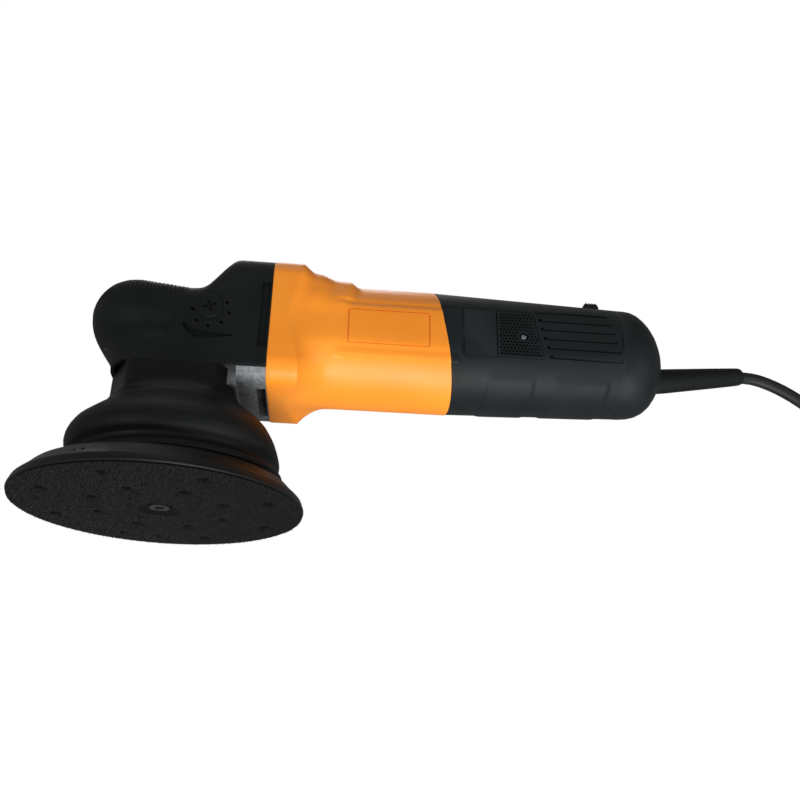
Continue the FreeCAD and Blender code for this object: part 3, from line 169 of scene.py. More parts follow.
def grid(rows, closed=True, caps=(False, False)):
    """Points and quads of a skin through rows of points; caps close the first and last row."""
    rows = [np.asarray(row, float) for row in rows]
    count = len(rows[0])
    points = np.concatenate(rows)
    steps = count if closed else count - 1
    faces = []
    for r in range(len(rows) - 1):
        for k in range(steps):
            a, b = r * count + k, r * count + (k + 1) % count
            faces.append((a, b, b + count, a + count))
    if caps[0]:
        faces.append(tuple(range(count - 1, -1, -1)))
    if caps[1]:
        faces.append(tuple(range((len(rows) - 1) * count, len(rows) * count)))
    return points, faces


def turned(profile, count, centre=(0, 0, 0), axis="Z"):
    """A turned solid. Its profile is a closed loop of (radius, along the axis) points."""
    angle = full_turn(count)
    rows = []
    for radius, along in profile:
        a, b = radius * np.cos(angle), radius * np.sin(angle)
        c = np.full(count, float(along))
        row = np.stack([a, b, c] if axis == "Z" else [c, a, b], axis=1)
        rows.append(row + np.array(centre, float))
    return grid([*rows, rows[0]])


def rounded(profile, radius=0.5, steps=3):
    """Profile with its corners eased by short arcs; a closed loop of (radius, along) points."""
    result = []
    count = len(profile)
    for k in range(count):
        before = np.array(profile[k - 1], float)
        here = np.array(profile[k], float)
        after = np.array(profile[(k + 1) % count], float)
        back, ahead = before - here, after - here
        reach = min(radius, 0.45 * np.linalg.norm(back), 0.45 * np.linalg.norm(ahead))
        start = here + back / np.linalg.norm(back) * reach
        end = here + ahead / np.linalg.norm(ahead) * reach
        for step in range(steps + 1):
            t = step / steps
            result.append((1 - t) ** 2 * start + 2 * t * (1 - t) * here + t * t * end)
    return result


def blocks(parts):
    """Points and faces of several closed solids put in one mesh."""
    points, faces = [], []
    for some_points, some_faces in parts:
        first = len(points)
        points.extend(list(some_points))
        faces.extend([tuple(i + first for i in face) for face in some_faces])
    return points, faces


def prism(outline, low, high, plane="XZ"):
    """A straight solid on an outline; plane XZ runs along Y, XY runs along Z."""
    rows = []
    for level in (low, high):
        if plane == "XZ":
            rows.append([(a, level, b) for a, b in outline])
        else:
            rows.append([(a, b, level) for a, b in outline])
    return grid(rows, caps=(True, True))


def pill(x0, x1, z, height, steps=6):
    """Outline of a slot with round ends."""
    r = height / 2
    points = []
    for k in range(steps + 1):
        a = -math.pi / 2 + math.pi * k / steps
        points.append((x1 - r + r * math.cos(a), z + r * math.sin(a)))
    for k in range(steps + 1):
        a = math.pi / 2 + math.pi * k / steps
        points.append((x0 + r + r * math.cos(a), z + r * math.sin(a)))
    return points


def walled(outer, inner):
    """A closed wall between two open skins of the same rows, outer and inner."""
    rows, count = len(outer), len(outer[0])
    points = np.concatenate([np.asarray(row, float) for row in [*outer, *inner]])
    deep = rows * count
    faces = []
    for r in range(rows - 1):
        for k in range(count - 1):
            a = r * count + k
            faces.append((a, a + 1, a + 1 + count, a + count))
            faces.append((deep + a, deep + a + count, deep + a + 1 + count, deep + a + 1))
        for a in (r * count, r * count + count - 1):
            faces.append((a, a + count, deep + a + count, deep + a))
    for k in range(count - 1):
        faces.append((k, deep + k, deep + k + 1, k + 1))
    return points, faces


def disc(x, z, radius, count=24):
    turn = [2 * math.pi * k / count for k in range(count)]
    return [(x + radius * math.cos(a), z + radius * math.sin(a)) for a in turn]


def apply_modifiers(obj):
    depsgraph = bpy.context.evaluated_depsgraph_get()
    mesh = bpy.data.meshes.new_from_object(obj.evaluated_get(depsgraph))
    obj.modifiers.clear()
    obj.data = mesh


def carve(obj, parts, crease=35):
    """Cut closed solids out of a piece."""
    cutter = build("cutter", *blocks(parts))
    cut = obj.modifiers.new("carve", "BOOLEAN")
    cut.operation = "DIFFERENCE"
    cut.solver = "MANIFOLD"
    cut.object = cutter
    apply_modifiers(obj)
    bpy.data.objects.remove(cutter)
    finish_mesh(obj, crease)


def thicken(obj, depth, crease=35):
    """Give a skin a wall, inwards."""
    wall = obj.modifiers.new("wall", "SOLIDIFY")
    wall.thickness = depth * MM
    wall.offset = -1
    wall.use_even_offset = True
    apply_modifiers(obj)
    finish_mesh(obj, crease)


def soften(obj, width, segments=2, angle=40):
    """Round a piece's edges."""
    edge = obj.modifiers.new("edge", "BEVEL")
    edge.width = width * MM
    edge.segments = segments
    edge.limit_method = "ANGLE"
    edge.angle_limit = math.radians(angle)
    apply_modifiers(obj)
    finish_mesh(obj, 30)


# --- materials -----------------------------------------------------------------------------


class Surface:
    """A node material in the making: one Principled shader and its procedural inputs."""

    def __init__(self, name, roughness=0.5, metallic=0.0, specular=0.5):
        self.material = bpy.data.materials.new(name)
        self.material.use_nodes = True
        self.tree = self.material.node_tree
        self.shader = self.tree.nodes["Principled BSDF"]
        self.shader.inputs["Roughness"].default_value = roughness
        self.shader.inputs["Metallic"].default_value = metallic
        self.shader.inputs["Specular IOR Level"].default_value = specular
        self.place = self.tree.nodes.new("ShaderNodeTexCoord").outputs["Object"]
        self.normal = None

    def node(self, kind):
        return self.tree.nodes.new(kind)

    def link(self, a, b):
        self.tree.links.new(a, b)

    def noise(self, scale, detail=3.0, roughness=0.5, stretch=None):
        made = self.node("ShaderNodeTexNoise")
        made.inputs["Scale"].default_value = scale
        made.inputs["Detail"].default_value = detail
        made.inputs["Roughness"].default_value = roughness
        source = self.place
        if stretch:
            mapping = self.node("ShaderNodeMapping")
            mapping.inputs["Scale"].default_value = stretch
            self.link(source, mapping.inputs["Vector"])
            source = mapping.outputs["Vector"]
        self.link(source, made.inputs["Vector"])
        return made.outputs["Fac"]

    def cells(self, scale):
        made = self.node("ShaderNodeTexVoronoi")
        made.inputs["Scale"].default_value = scale
        self.link(self.place, made.inputs["Vector"])
        return made.outputs["Distance"]

    def ramp(self, source, stops):
        made = self.node("ShaderNodeValToRGB")
        bar = made.color_ramp
        while len(bar.elements) < len(stops):
            bar.elements.new(0.5)
        for element, (at, colour) in zip(bar.elements, stops):
            element.position = at
            element.color = (*colour, 1)
        self.link(source, made.inputs["Fac"])
        return made.outputs["Color"]

    def colour(self, source, low, high, at=(0.35, 0.65)):
        """Base colour between two tones, led by a texture."""
        out = self.ramp(source, [(at[0], low), (at[1], high)])
        self.link(out, self.shader.inputs["Base Color"])
        return out

    def worn(self, base, tone):
        """Paler tone along outer edges."""
        geometry = self.node("ShaderNodeNewGeometry")
        rub = self.ramp(geometry.outputs["Pointiness"], [(0.53, (0, 0, 0)), (0.62, (0.5, 0.5, 0.5))])
        mix = self.node("ShaderNodeMix")
        mix.data_type = "RGBA"
        self.link(rub, mix.inputs[0])
        self.link(base, mix.inputs[6])
        mix.inputs[7].default_value = (*tone, 1)
        self.link(mix.outputs[2], self.shader.inputs["Base Color"])

    def rough(self, source, low, high):
        span = self.node("ShaderNodeMapRange")
        span.inputs["To Min"].default_value = low
        span.inputs["To Max"].default_value = high
        self.link(source, span.inputs["Value"])
        self.link(span.outputs["Result"], self.shader.inputs["Roughness"])

    def relief(self, source, depth_mm, strength=1.0):
        """Surface relief from a texture, over any relief already there."""
        made = self.node("ShaderNodeBump")
        made.inputs["Strength"].default_value = strength
        made.inputs["Distance"].default_value = depth_mm * MM
        self.link(source, made.inputs["Height"])
        if self.normal is not None:
            self.link(self.normal, made.inputs["Normal"])
        self.normal = made.outputs["Normal"]
        self.link(self.normal, self.shader.inputs["Normal"])


def orange_nylon():
    s = Surface("orange_nylon", 0.45, specular=0.3)
    tone = s.colour(s.noise(22, 4), (0.9, 0.275, 0.02), (0.96, 0.315, 0.027))
    s.worn(tone, (1.0, 0.42, 0.07))
    s.rough(s.noise(60, 3), 0.36, 0.5)
    s.relief(s.noise(2600, 2), 0.02, 0.35)
    s.relief(s.noise(90, 3), 0.05, 0.15)
    return s.material


def black_nylon():
    s = Surface("black_nylon", 0.5, specular=0.16)
    tone = s.colour(s.noise(35, 4), (0.0075, 0.0098, 0.0106), (0.0105, 0.0132, 0.0145))
    s.worn(tone, (0.025, 0.029, 0.031))
    s.rough(s.noise(80, 3), 0.44, 0.6)
    s.relief(s.noise(3000, 2), 0.03, 0.5)
    return s.material


def black_rubber():
    s = Surface("black_rubber", 0.6, specular=0.14)
    tone = s.colour(s.noise(28, 5), (0.0045, 0.0056, 0.006), (0.0075, 0.0088, 0.0095))
    s.worn(tone, (0.018, 0.02, 0.021))
    s.rough(s.noise(45, 4), 0.5, 0.72)
    s.relief(s.noise(1500, 3), 0.03, 0.45)
    s.relief(s.noise(55, 3), 0.12, 0.2)
    return s.material


def shroud_rubber():
    s = Surface("shroud_rubber", 0.5, specular=0.15)
    tone = s.colour(s.noise(24, 5), (0.004, 0.0048, 0.0047), (0.0065, 0.0074, 0.0074))
    s.worn(tone, (0.018, 0.02, 0.02))
    s.rough(s.noise(40, 4), 0.42, 0.62)
    s.relief(s.noise(40, 3), 0.2, 0.25)
    s.relief(s.noise(1800, 2), 0.02, 0.4)
    return s.material


def plate_rim():
    s = Surface("plate_rim", 0.4, specular=0.2)
    s.colour(s.noise(30, 4), (0.0045, 0.0052, 0.005), (0.0075, 0.0082, 0.008))
    s.rough(s.noise(50, 3), 0.36, 0.52)
    s.relief(s.noise(900, 2), 0.02, 0.3)
    return s.material


def hook_weave():
    s = Surface("hook_weave", 0.78, specular=0.08)
    s.colour(s.cells(900), (0.0032, 0.0036, 0.004), (0.001, 0.0011, 0.0013), (0.1, 0.7))
    s.relief(s.cells(900), 0.35, 0.9)
    s.relief(s.noise(60, 4), 0.3, 0.3)
    s.shader.inputs["Sheen Weight"].default_value = 0.02
    s.shader.inputs["Sheen Roughness"].default_value = 0.5
    return s.material


def hook_nylon():
    s = Surface("hook_nylon", 0.45, specular=0.18)
    s.colour(s.noise(400, 2), (0.004, 0.0045, 0.005), (0.0085, 0.0095, 0.0105))
    return s.material


def cast_alloy():
    s = Surface("cast_alloy", 0.45, metallic=0.45)
    s.colour(s.noise(500, 5), (0.13, 0.137, 0.143), (0.24, 0.25, 0.26))
    s.rough(s.noise(300, 4), 0.5, 0.72)
    s.relief(s.noise(1100, 4, 0.65), 0.12, 0.8)
    return s.material


def machined_steel():
    s = Surface("machined_steel", 0.3, metallic=1.0)
    s.colour(s.noise(120, 4), (0.42, 0.43, 0.45), (0.6, 0.61, 0.63))
    s.rough(s.noise(300, 3, stretch=(1, 1, 12)), 0.2, 0.42)
    s.relief(s.noise(700, 2, stretch=(1, 1, 14)), 0.01, 0.4)
    return s.material


def black_steel():
    s = Surface("black_steel", 0.42, metallic=0.8)
    s.colour(s.noise(200, 4), (0.035, 0.036, 0.038), (0.075, 0.077, 0.08))
    s.rough(s.noise(260, 3), 0.32, 0.55)
    s.relief(s.noise(900, 3), 0.02, 0.4)
    return s.material


def copper_wire():
    s = Surface("copper_wire", 0.35, metallic=0.9)
    s.colour(s.noise(90, 3, stretch=(1, 9, 9)), (0.42, 0.14, 0.055), (0.62, 0.26, 0.11))
    s.relief(s.noise(260, 2, stretch=(1, 12, 12)), 0.4, 0.9)
    return s.material


def lamination():
    s = Surface("lamination", 0.4, metallic=0.9)
    s.colour(s.noise(250, 2, stretch=(18, 1, 1)), (0.14, 0.14, 0.145), (0.3, 0.3, 0.31))
    s.relief(s.noise(250, 2, stretch=(18, 1, 1)), 0.2, 0.8)
    return s.material


def moulded(name, low, high, roughness=0.45):
    s = Surface(name, roughness)
    s.colour(s.noise(60, 4), low, high)
    s.rough(s.noise(120, 3), roughness - 0.08, roughness + 0.1)
    s.relief(s.noise(1600, 2), 0.02, 0.4)
    return s.material


def cord_sheath():
    s = Surface("cord_sheath", 0.5, specular=0.25)
    s.colour(s.noise(70, 4), (0.008, 0.009, 0.0095), (0.014, 0.0155, 0.0165))
    s.rough(s.noise(140, 3), 0.42, 0.6)
    s.relief(s.noise(2200, 2), 0.02, 0.4)
    return s.material


def studio_floor():
    """Pale floor, seen only from above."""
    s = Surface("studio_floor", 0.8, specular=0.1)
    tone = s.colour(s.noise(3, 2), (0.84, 0.84, 0.84), (0.87, 0.87, 0.87))
    s.link(tone, s.shader.inputs["Emission Color"])
    s.shader.inputs["Emission Strength"].default_value = 0.5
    clear = s.node("ShaderNodeBsdfTransparent")
    mix = s.node("ShaderNodeMixShader")
    side = s.node("ShaderNodeNewGeometry")
    s.link(side.outputs["Backfacing"], mix.inputs[0])
    s.link(s.shader.outputs[0], mix.inputs[1])
    s.link(clear.outputs[0], mix.inputs[2])
    s.link(mix.outputs[0], s.tree.nodes["Material Output"].inputs["Surface"])
    return s.material


ORANGE = orange_nylon()
NYLON = black_nylon()
RUBBER = black_rubber()
SHROUD = shroud_rubber()
RIM = plate_rim()
WEAVE = hook_weave()
HOOK = hook_nylon()
ALLOY = cast_alloy()
STEEL = machined_steel()
BLACK_STEEL = black_steel()
COPPER = copper_wire()
STACK = lamination()
SHEATH = cord_sheath()
CARBON = moulded("pressed_carbon", (0.01, 0.01, 0.01), (0.022, 0.022, 0.022), 0.6)
WHITE = moulded("fan_plastic", (0.32, 0.32, 0.31), (0.42, 0.42, 0.4))
BOARD = moulded("circuit_board", (0.01, 0.03, 0.018), (0.015, 0.045, 0.025))
BRONZE = moulded("sintered_bronze", (0.32, 0.18, 0.07), (0.42, 0.25, 0.1))


# --- cord, coil and plug -------------------------------------------------------------------

# The cord's route in millimetres, as in the CAD model.
CORD_LEAD = [
    (335.6, 0, 90.9),
    (350, 0, 83),
    (363, 0, 72.6),
    (376, 0, 58.5),
    (389, -0.3, 42.6),
    (402.5, -1.5, 31.2),
    (418, -4, 25),
]
CORD_TAIL = [
    (364.6, -48, 3.6),
    (364.5, -29, 3.6),
    (367.5, -10, 3.7),
    (374.5, 8, 4.3),
    (386, 23.5, 5.6),
    (400, 34.5, 7.6),
    (416.5, 41, 9.6),
]
PLUG_HEADING = math.radians(21.5)
CORD_RADIUS = 3.5
COIL_CENTRE = (415.0, -55.2)
COIL_MIDDLE = 42.0
TURN_GAP = 7.05
TURN_POINTS = 16


def coil_points():
    """Turns of the coil: two layers of three turns on two layers of four."""
    slots = []
    for layer, columns in enumerate(((0, 1, 2), (2, 1, 0), (0, 1, 2, 3), (3, 2, 1, 0))):
        height = CORD_RADIUS + (3 - layer) * TURN_GAP
        for column in columns:
            slots.append((COIL_MIDDLE + (1.5 - column) * TURN_GAP, height))
    start, end = math.radians(69), math.radians(172 - 360 * len(slots))
    count = int(round((start - end) / (2 * math.pi) * TURN_POINTS))
    widen = 1 / math.cos(math.pi / TURN_POINTS)
    points = []
    for k in range(count + 1):
        angle = start + (end - start) * k / count
        turn = (start - angle) / (2 * math.pi)
        now = min(int(turn), len(slots) - 1)
        after = min(now + 1, len(slots) - 1)
        move = float(ease(0.72, 1.0, turn - now))
        radius = slots[now][0] * (1 - move) + slots[after][0] * move
        height = slots[now][1] * (1 - move) + slots[after][1] * move
        x = COIL_CENTRE[0] + radius * widen * math.cos(angle)
        y = COIL_CENTRE[1] + radius * widen * math.sin(angle)
        points.append((x, y, height))
    return points


def cord():
    first = [RELIEF_END - RELIEF_AXIS * 15, RELIEF_END + RELIEF_AXIS * 2.5]
    route = first + CORD_LEAD + coil_points() + CORD_TAIL
    curve = bpy.data.curves.new("cord_line", "CURVE")
    curve.dimensions = "3D"
    curve.resolution_u = 5
    curve.bevel_depth = CORD_RADIUS * MM
    curve.bevel_resolution = 5
    curve.use_fill_caps = True
    line = curve.splines.new("NURBS")
    line.points.add(len(route) - 1)
    for point, place in zip(line.points, route):
        point.co = (*(np.asarray(place, float) * MM), 1)
    line.order_u = 3
    line.use_endpoint_u = True
    obj = bpy.data.objects.new("mains_cord", curve)
    bpy.context.scene.collection.objects.link(obj)
    curve.materials.append(SHEATH)
    mount(obj, "root", ("cord", "cord_coil", "cord_tail"))
    return obj, first[0]


def plug():
    """Two-pin plug: a tapered tail, a wider squarish grip, and its pair of pins."""
    back = np.array(CORD_TAIL[-1])
    ahead = np.array([math.cos(PLUG_HEADING), math.sin(PLUG_HEADING), 0])
    side = np.array([-ahead[1], ahead[0], 0])
    up = np.array([0, 0, 1.0])
    angle = full_turn(48)
    outline = [
        (0, 4.6, 4.6), (2, 5.4, 5.4), (18, 8.4, 8), (20, 12, 9), (22, 14, 9.3), (31, 17.8, 9.3),
        (46, 17.8, 9.3), (50, 15.5, 9), (52, 12.8, 8),
    ]
    rows = []
    for along, wide, tall in outline:
        square = 1 - 0.35 * float(ease(14, 24, along))
        c, s = np.cos(angle), np.sin(angle)
        a = np.sign(c) * np.abs(c) ** square * wide
        b = np.sign(s) * np.abs(s) ** square * tall
        rows.append(back + np.outer(a, side) + np.outer(b, up) + ahead * along)
    body = piece("plug_body", *grid(rows, caps=(True, True)), RUBBER, instead=("plug",), crease=38)
    parts = []
    for offset in (-9.5, 9.5):
        rows = []
        for along, radius in ((50, 2.4), (70, 2.4), (70.7, 2.0), (71, 1.2)):
            rows.append(ring(back + side * offset + ahead * along, side, up, radius, 48))
        parts.append(grid(rows, caps=(True, True)))
    pins = piece("plug_pin_pair", *blocks(parts), STEEL, instead=("plug_pins",))
    return body, pins


def strain_relief():
    """Tapered sleeve with a rolled foot where it leaves the bumper."""
    profile = [
        (14, 3.6), (14, 7.2), (30, 7.15), (60, 5.95), (74, 5.3), (76.5, 5.1), (77.8, 4.7), (78.4, 4.1),
        (78.4, 3.6), (70, 3.55),
    ]
    rows = []
    for along, radius in profile:
        rows.append(ring(RELIEF_FOOT + RELIEF_AXIS * along, ACROSS, RELIEF_UP, radius, 48))
    return piece("relief_sleeve", *grid(rows), RUBBER, instead=("strain_relief",), crease=50)


# --- backing plate ---------------------------------------------------------------------------

DIMPLE_TURNS = [28 + 45 * k for k in range(8)]
HOOK_LIMIT = 74.8  # no hook's tip is farther than this from the plate's middle


def dimple_depth(x, y):
    """How far the hook face dips at its vent holes and round its centre."""
    depth = np.zeros_like(x)
    for turn in DIMPLE_TURNS:
        a = math.radians(turn)
        for reach, width in ((59.5, 4.2), (35.0, 4.6)):
            gap = np.hypot(x - reach * math.cos(a), y - reach * math.sin(a))
            dip = 1.0 * np.exp(-((gap / width) ** 2)) + 3.4 * ease(2.6, 1.7, gap)
            depth = np.maximum(depth, dip)
    return depth


def hook_face():
    """Woven face of small hooks, dipping at its vents, with a hole for the bolt."""
    angle = full_turn(240)
    rows = []
    for radius in np.concatenate([[6.2, 6.2, 6.6], np.linspace(7.5, 73, 80), [73.8, 74.1, 74.1]]):
        x = radius * np.cos(angle)
        y = radius * np.sin(angle)
        low = 0.9 + dimple_depth(x, y) + 1.6 * (1 - ease(6.5, 13, radius))
        rows.append(np.stack([x + PLATE_X, y + PLATE_Y, low], axis=1))
    rows[0][:, 2] = 4.4
    rows[-1][:, 2] = 1.8
    piece("hook_disc", *grid(rows), WEAVE, "plate", ("hook_face",), crease=50)


def hooks():
    """Rows of tiny nylon hooks standing on the face, one leaning spike each."""
    rng = np.random.default_rng(7)
    pitch = 1.5
    spikes = []
    steps = np.arange(-74, 74.1, pitch)
    for row, y in enumerate(steps):
        for x in steps + (row % 2) * pitch / 2:
            x0, y0 = x + rng.uniform(-0.08, 0.08), y + rng.uniform(-0.08, 0.08)
            if 11.5 < math.hypot(x0, y0) < 74.0:
                spikes.append((x0, y0))
    at = np.array(spikes)
    dip = dimple_depth(at[:, 0], at[:, 1])
    at, dip = at[dip < 2], dip[dip < 2]
    lean = rng.uniform(-0.2, 0.2, at.shape)
    reach = rng.uniform(0.7, 0.9, len(at))
    points, faces = [], []
    for (x, y), d, (lx, ly), h in zip(at, dip, lean, reach):
        first = len(points)
        base = 0.95 + d
        for k in range(3):
            a = 2 * math.pi * k / 3
            foot_x, foot_y = PLATE_X + x + 0.42 * math.cos(a), PLATE_Y + y + 0.42 * math.sin(a)
            points.append((foot_x, foot_y, base))
        tip_x, tip_y = x + lx, y + ly
        spread = math.hypot(tip_x, tip_y)
        if spread > HOOK_LIMIT:
            tip_x, tip_y = tip_x * HOOK_LIMIT / spread, tip_y * HOOK_LIMIT / spread
        points.append((PLATE_X + tip_x, PLATE_Y + tip_y, base - h))
        tip = first + 3
        faces += [(first, first + 1, tip), (first + 1, first + 2, tip), (first + 2, first, tip)]
        faces.append((first, first + 2, first + 1))
    mesh = bpy.data.meshes.new("hooks")
    mesh.from_pydata([tuple(np.asarray(p) * MM) for p in points], [], faces)
    obj = bpy.data.objects.new("hooks", mesh)
    bpy.context.scene.collection.objects.link(obj)
    mesh.materials.append(HOOK)
    mount(obj, "plate")


def plate():
    """Foam edge and moulded core, whose side sweeps up to the lip and has small holes."""
    centre = (PLATE_X, PLATE_Y, 0)
    foam = [
        (9.3, 5.6), (70, 5.6), (70, 1.8), (74.2, 1.8), (74.6, 2.4), (74.5, 3.2), (73.4, 6.0), (9.3, 6.0),
    ]
    piece("foam_layer", *turned(foam, 200, centre), RIM, "plate", ("plate_foam",), crease=40)
    side = [(73.4, 6.0), (72.2, 7.2), (70.4, 8.8), (68.6, 10.6), (67.0, 12.4), (66.0, 13.3)]
    inner = [(30, 13.3), (24, 10.4), (16, 10.4), (13, 13.3), (4.3, 13.3), (4.3, 6.0)]
    core = turned(side + inner, 200, centre)
    body = piece("plate_body", *core, RIM, "plate", ("plate_core",), crease=40)
    tools = []
    for number in range(8):
        for shift in (-2.0, 2.0):
            a = math.radians(22.5 + 45 * number + shift)
            x, y = PLATE_X + 70.2 * math.cos(a), PLATE_Y + 70.2 * math.sin(a)
            tools.append(prism(disc(x, y, 1.0, 16), 7.6, 15, "XY"))
    carve(body, tools, 40)


# --- shroud ---------------------------------------------------------------------------------

# Height, and the skirt's reach there at the front and at the back.
SHROUD_LEVELS = [
    (67.0, 38.4), (57.5, 38.6), (55.0, 39.6), (52.5, 41.0), (49.5, 42.0), (46.5, 44.2), (43.5, 47.2),
    (40.5, 50.6), (37.5, 53.8), (34.5, 55.6), (31.5, 56.7), (28.5, 57.0), (25.8, 56.5), (24.0, 55.4),
    (22.8, 53.8), (21.8, 52.7), (20.4, 52.4), (19.2, 52.6), (18.5, 53.2),
]
SHROUD_REAR = [
    (67, 28.0), (57.5, 28.0), (54, 30.0), (48.5, 38.0), (43.5, 42.5), (37.7, 47.0), (31.5, 51.2),
    (26, 54.0), (18, 54.5),
]


def behind(limit, cosine):
    """Distance to a wall square to a direction, where it faces that way."""
    return np.where(cosine > 0.02, limit / np.maximum(cosine, 0.02), 900.0)


def shroud_radius(angle, z):
    """Distance from the spindle axis: a rounded box at the neck, round below."""
    c, s = np.cos(angle), np.sin(angle)
    rear = np.interp(-z, *zip(*[(-level, reach) for level, reach in SHROUD_REAR]))
    front = np.interp(-z, *zip(*[(-level, reach) for level, reach in SHROUD_LEVELS]))

    def facet(distance, degrees):
        lean = math.radians(degrees)
        return behind(distance, c * math.cos(lean) + np.abs(s) * math.sin(lean))

    flats = behind(36.5, np.abs(s)), behind(38.4, -c), behind(28.0, c)
    neck = soft_min(60.0, *flats, facet(37.2, 38), facet(37.7, 154))
    bowl = soft_min(18.0, np.full_like(angle, front), behind(rear, c))
    skirt = ease(60.0, 43.0, z)
    return neck * (1 - skirt) + bowl * skirt


def shroud():
    angle = full_turn(260)
    rows = []
    for z in np.concatenate([np.linspace(66.8, 26, 62), np.linspace(25.4, 18.5, 18)]):
        radius = shroud_radius(angle, z) + 0.5 * bump(50.5, 1.6, z)
        level = np.full_like(angle, z)
        rows.append(np.stack([radius * np.cos(angle), radius * np.sin(angle), level], axis=1))
    skirt = piece("shroud_skirt", *grid(rows), SHROUD, instead=("shroud",), crease=42)
    thicken(skirt, 2.6, 42)
    lip = rounded([(49.6, 14.3), (54.2, 14.3), (55.0, 15.2), (55.0, 17.2), (54.0, 18.3), (49.6, 18.3)], 0.5)
    piece("rim_band", *turned(lip, 200), SHROUD, instead=("shroud_lip_ring",))


# --- head cover -----------------------------------------------------------------------------

NOSE_X = -18.0
COVER_FOOT = 66.9
# Height of the cover's top along the machine.
COVER_TOP = [
    (-60, 112.0), (-54, 114.0), (-48, 116.6), (-42, 117.6), (-34, 117.5), (-26, 116.6), (-18, 115.4),
    (-10, 114.2), (-4, 113.4), (2, 113.3), (7, 113.9), (10, 115.8), (13.7, 120.4), (18.4, 126.8),
    (22, 131.0), (24.5, 132.9), (27, 133.2), (60, 133.2),
]


def cover_outline():
    """Plan of the cover: straight sides and a round nose, as points, outward normals and lengths."""
    straight = COVER_BACK - NOSE_X
    bend = math.pi * COLLAR_HALF
    middle = straight + bend / 2
    half = np.concatenate([np.linspace(0, 39.4, 40), np.arange(40.0, middle, 0.3)])
    lengths = np.concatenate([half, 2 * middle - half[::-1]])
    places, normals = [], []
    for along in lengths:
        if along <= straight:
            places.append((COVER_BACK - along, -COLLAR_HALF))
            normals.append((0, -1))
        elif along <= straight + bend:
            a = -math.pi / 2 - (along - straight) / COLLAR_HALF
            places.append((NOSE_X + COLLAR_HALF * math.cos(a), COLLAR_HALF * math.sin(a)))
            normals.append((math.cos(a), math.sin(a)))
        else:
            places.append((NOSE_X + along - straight - bend, COLLAR_HALF))
            normals.append((0, 1))
    return np.array(places), np.array(normals), lengths - middle


def cover_top(x):
    xs, zs = zip(*COVER_TOP)
    fine = np.arange(-60, 60.1, 0.5)
    level = np.interp(fine, xs, zs)
    kernel = np.exp(-((np.arange(-6, 7) / 3.2) ** 2))
    level = np.convolve(np.pad(level, 6, "edge"), kernel / kernel.sum(), "valid")
    return np.interp(x, fine, level)


def cover_rows(wall):
    """Rows of the cover's skin from its foot to its middle line, a wall's depth inside it."""
    place, normal, along = cover_outline()
    x = place[:, 0]
    front = np.clip(-normal[:, 0], 0, 1)
    top = cover_top(x)
    edge = 12.0 - 1.2 * window(-8, 16, 14, x)
    ridge = np.abs(np.sin(along * math.pi / 2.1)) * ease(2, -3, x) * (wall == 0)
    rows = []

    def row(shrink, z):
        point = place - normal * np.reshape(shrink + wall, (-1, 1))
        rows.append(np.stack([point[:, 0], point[:, 1], np.broadcast_to(z, x.shape)], axis=1))

    shoulder = top - edge
    for t in np.linspace(0, 1, 34):
        z = COVER_FOOT + (shoulder - COVER_FOOT) * t
        under = 17.5 * (1 - ease(65, 104, z)) ** 1.2 * front**1.6
        waist = 2.6 * bump(87, 7, z) * window(-50, -10, 8, x) * (1 - front**3)
        row(under + waist, z)
    for k in range(1, 15):
        a = math.pi / 2 * k / 14
        teeth = 0.65 * ridge * math.sin(math.pi * k / 14) ** 0.6
        z = shoulder - wall * k / 14 + (edge + teeth) * math.sin(a)
        row(edge * (1 - math.cos(a)) - teeth * math.cos(a), z)
    spine = np.stack([np.clip(x, NOSE_X, 60), np.zeros_like(x)], axis=1)
    rim = place - normal * (edge + wall)[:, None]
    for t in (0.06, 0.14, 0.26, 0.42, 0.6, 0.8, 1.0):
        point = rim * (1 - t) + spine * t
        rows.append(np.stack([point[:, 0], point[:, 1], cover_top(point[:, 0]) - wall], axis=1))
    return rows


def head_cover():
    """Rubber cover: knurled round nose, waist below it, ramp up to the square collar."""
    wall = walled(cover_rows(0), cover_rows(2.2))
    replaced = ("head_cover", "cover_screw_caps")
    skin = piece("head_rubber", *wall, RUBBER, instead=replaced, crease=40)
    carve_cover(skin)


BOSS_X, BOSS_Z = 12.6, 99.0
BOSS_POCKET = [
    (-12.9, -10.2), (-12.0, -13.4), (-9.6, -16.4), (-6.4, -18.6), (-2.5, -19.3), (2.5, -18.9),
    (8.0, -17.8), (13.1, -16.9), (13.1, -16.3), (5.0, -15.2), (-2.0, -15.0), (-6.0, -14.5),
    (-9.3, -12.9), (-11.4, -11.0),
]
BOSS_PIPS = [(-8.4, -2.4), (-5.7, -9.2), (0.3, -11.8), (6.8, -9.5), (10.2, -3.5), (8.8, 2.6)]


def cross_slot(tilt):
    """Outline of a cross recess, as one twelve-cornered shape."""
    arm, half = 3.4, 0.75
    corners = []
    for quarter in range(4):
        a = math.radians(tilt + 90 * quarter)
        for u, v in ((half, half), (arm, half), (arm, -half)):
            corners.append((u * math.cos(a) + v * math.sin(a), u * math.sin(a) - v * math.cos(a)))
    return corners


def at_boss(points):
    return [(BOSS_X + u, BOSS_Z + v) for u, v in points]


def into_collar(sign, depth):
    """Span of a cutter that goes a depth into the cover's side."""
    return on_side(sign, COLLAR_HALF + 1.5, COLLAR_HALF - depth)


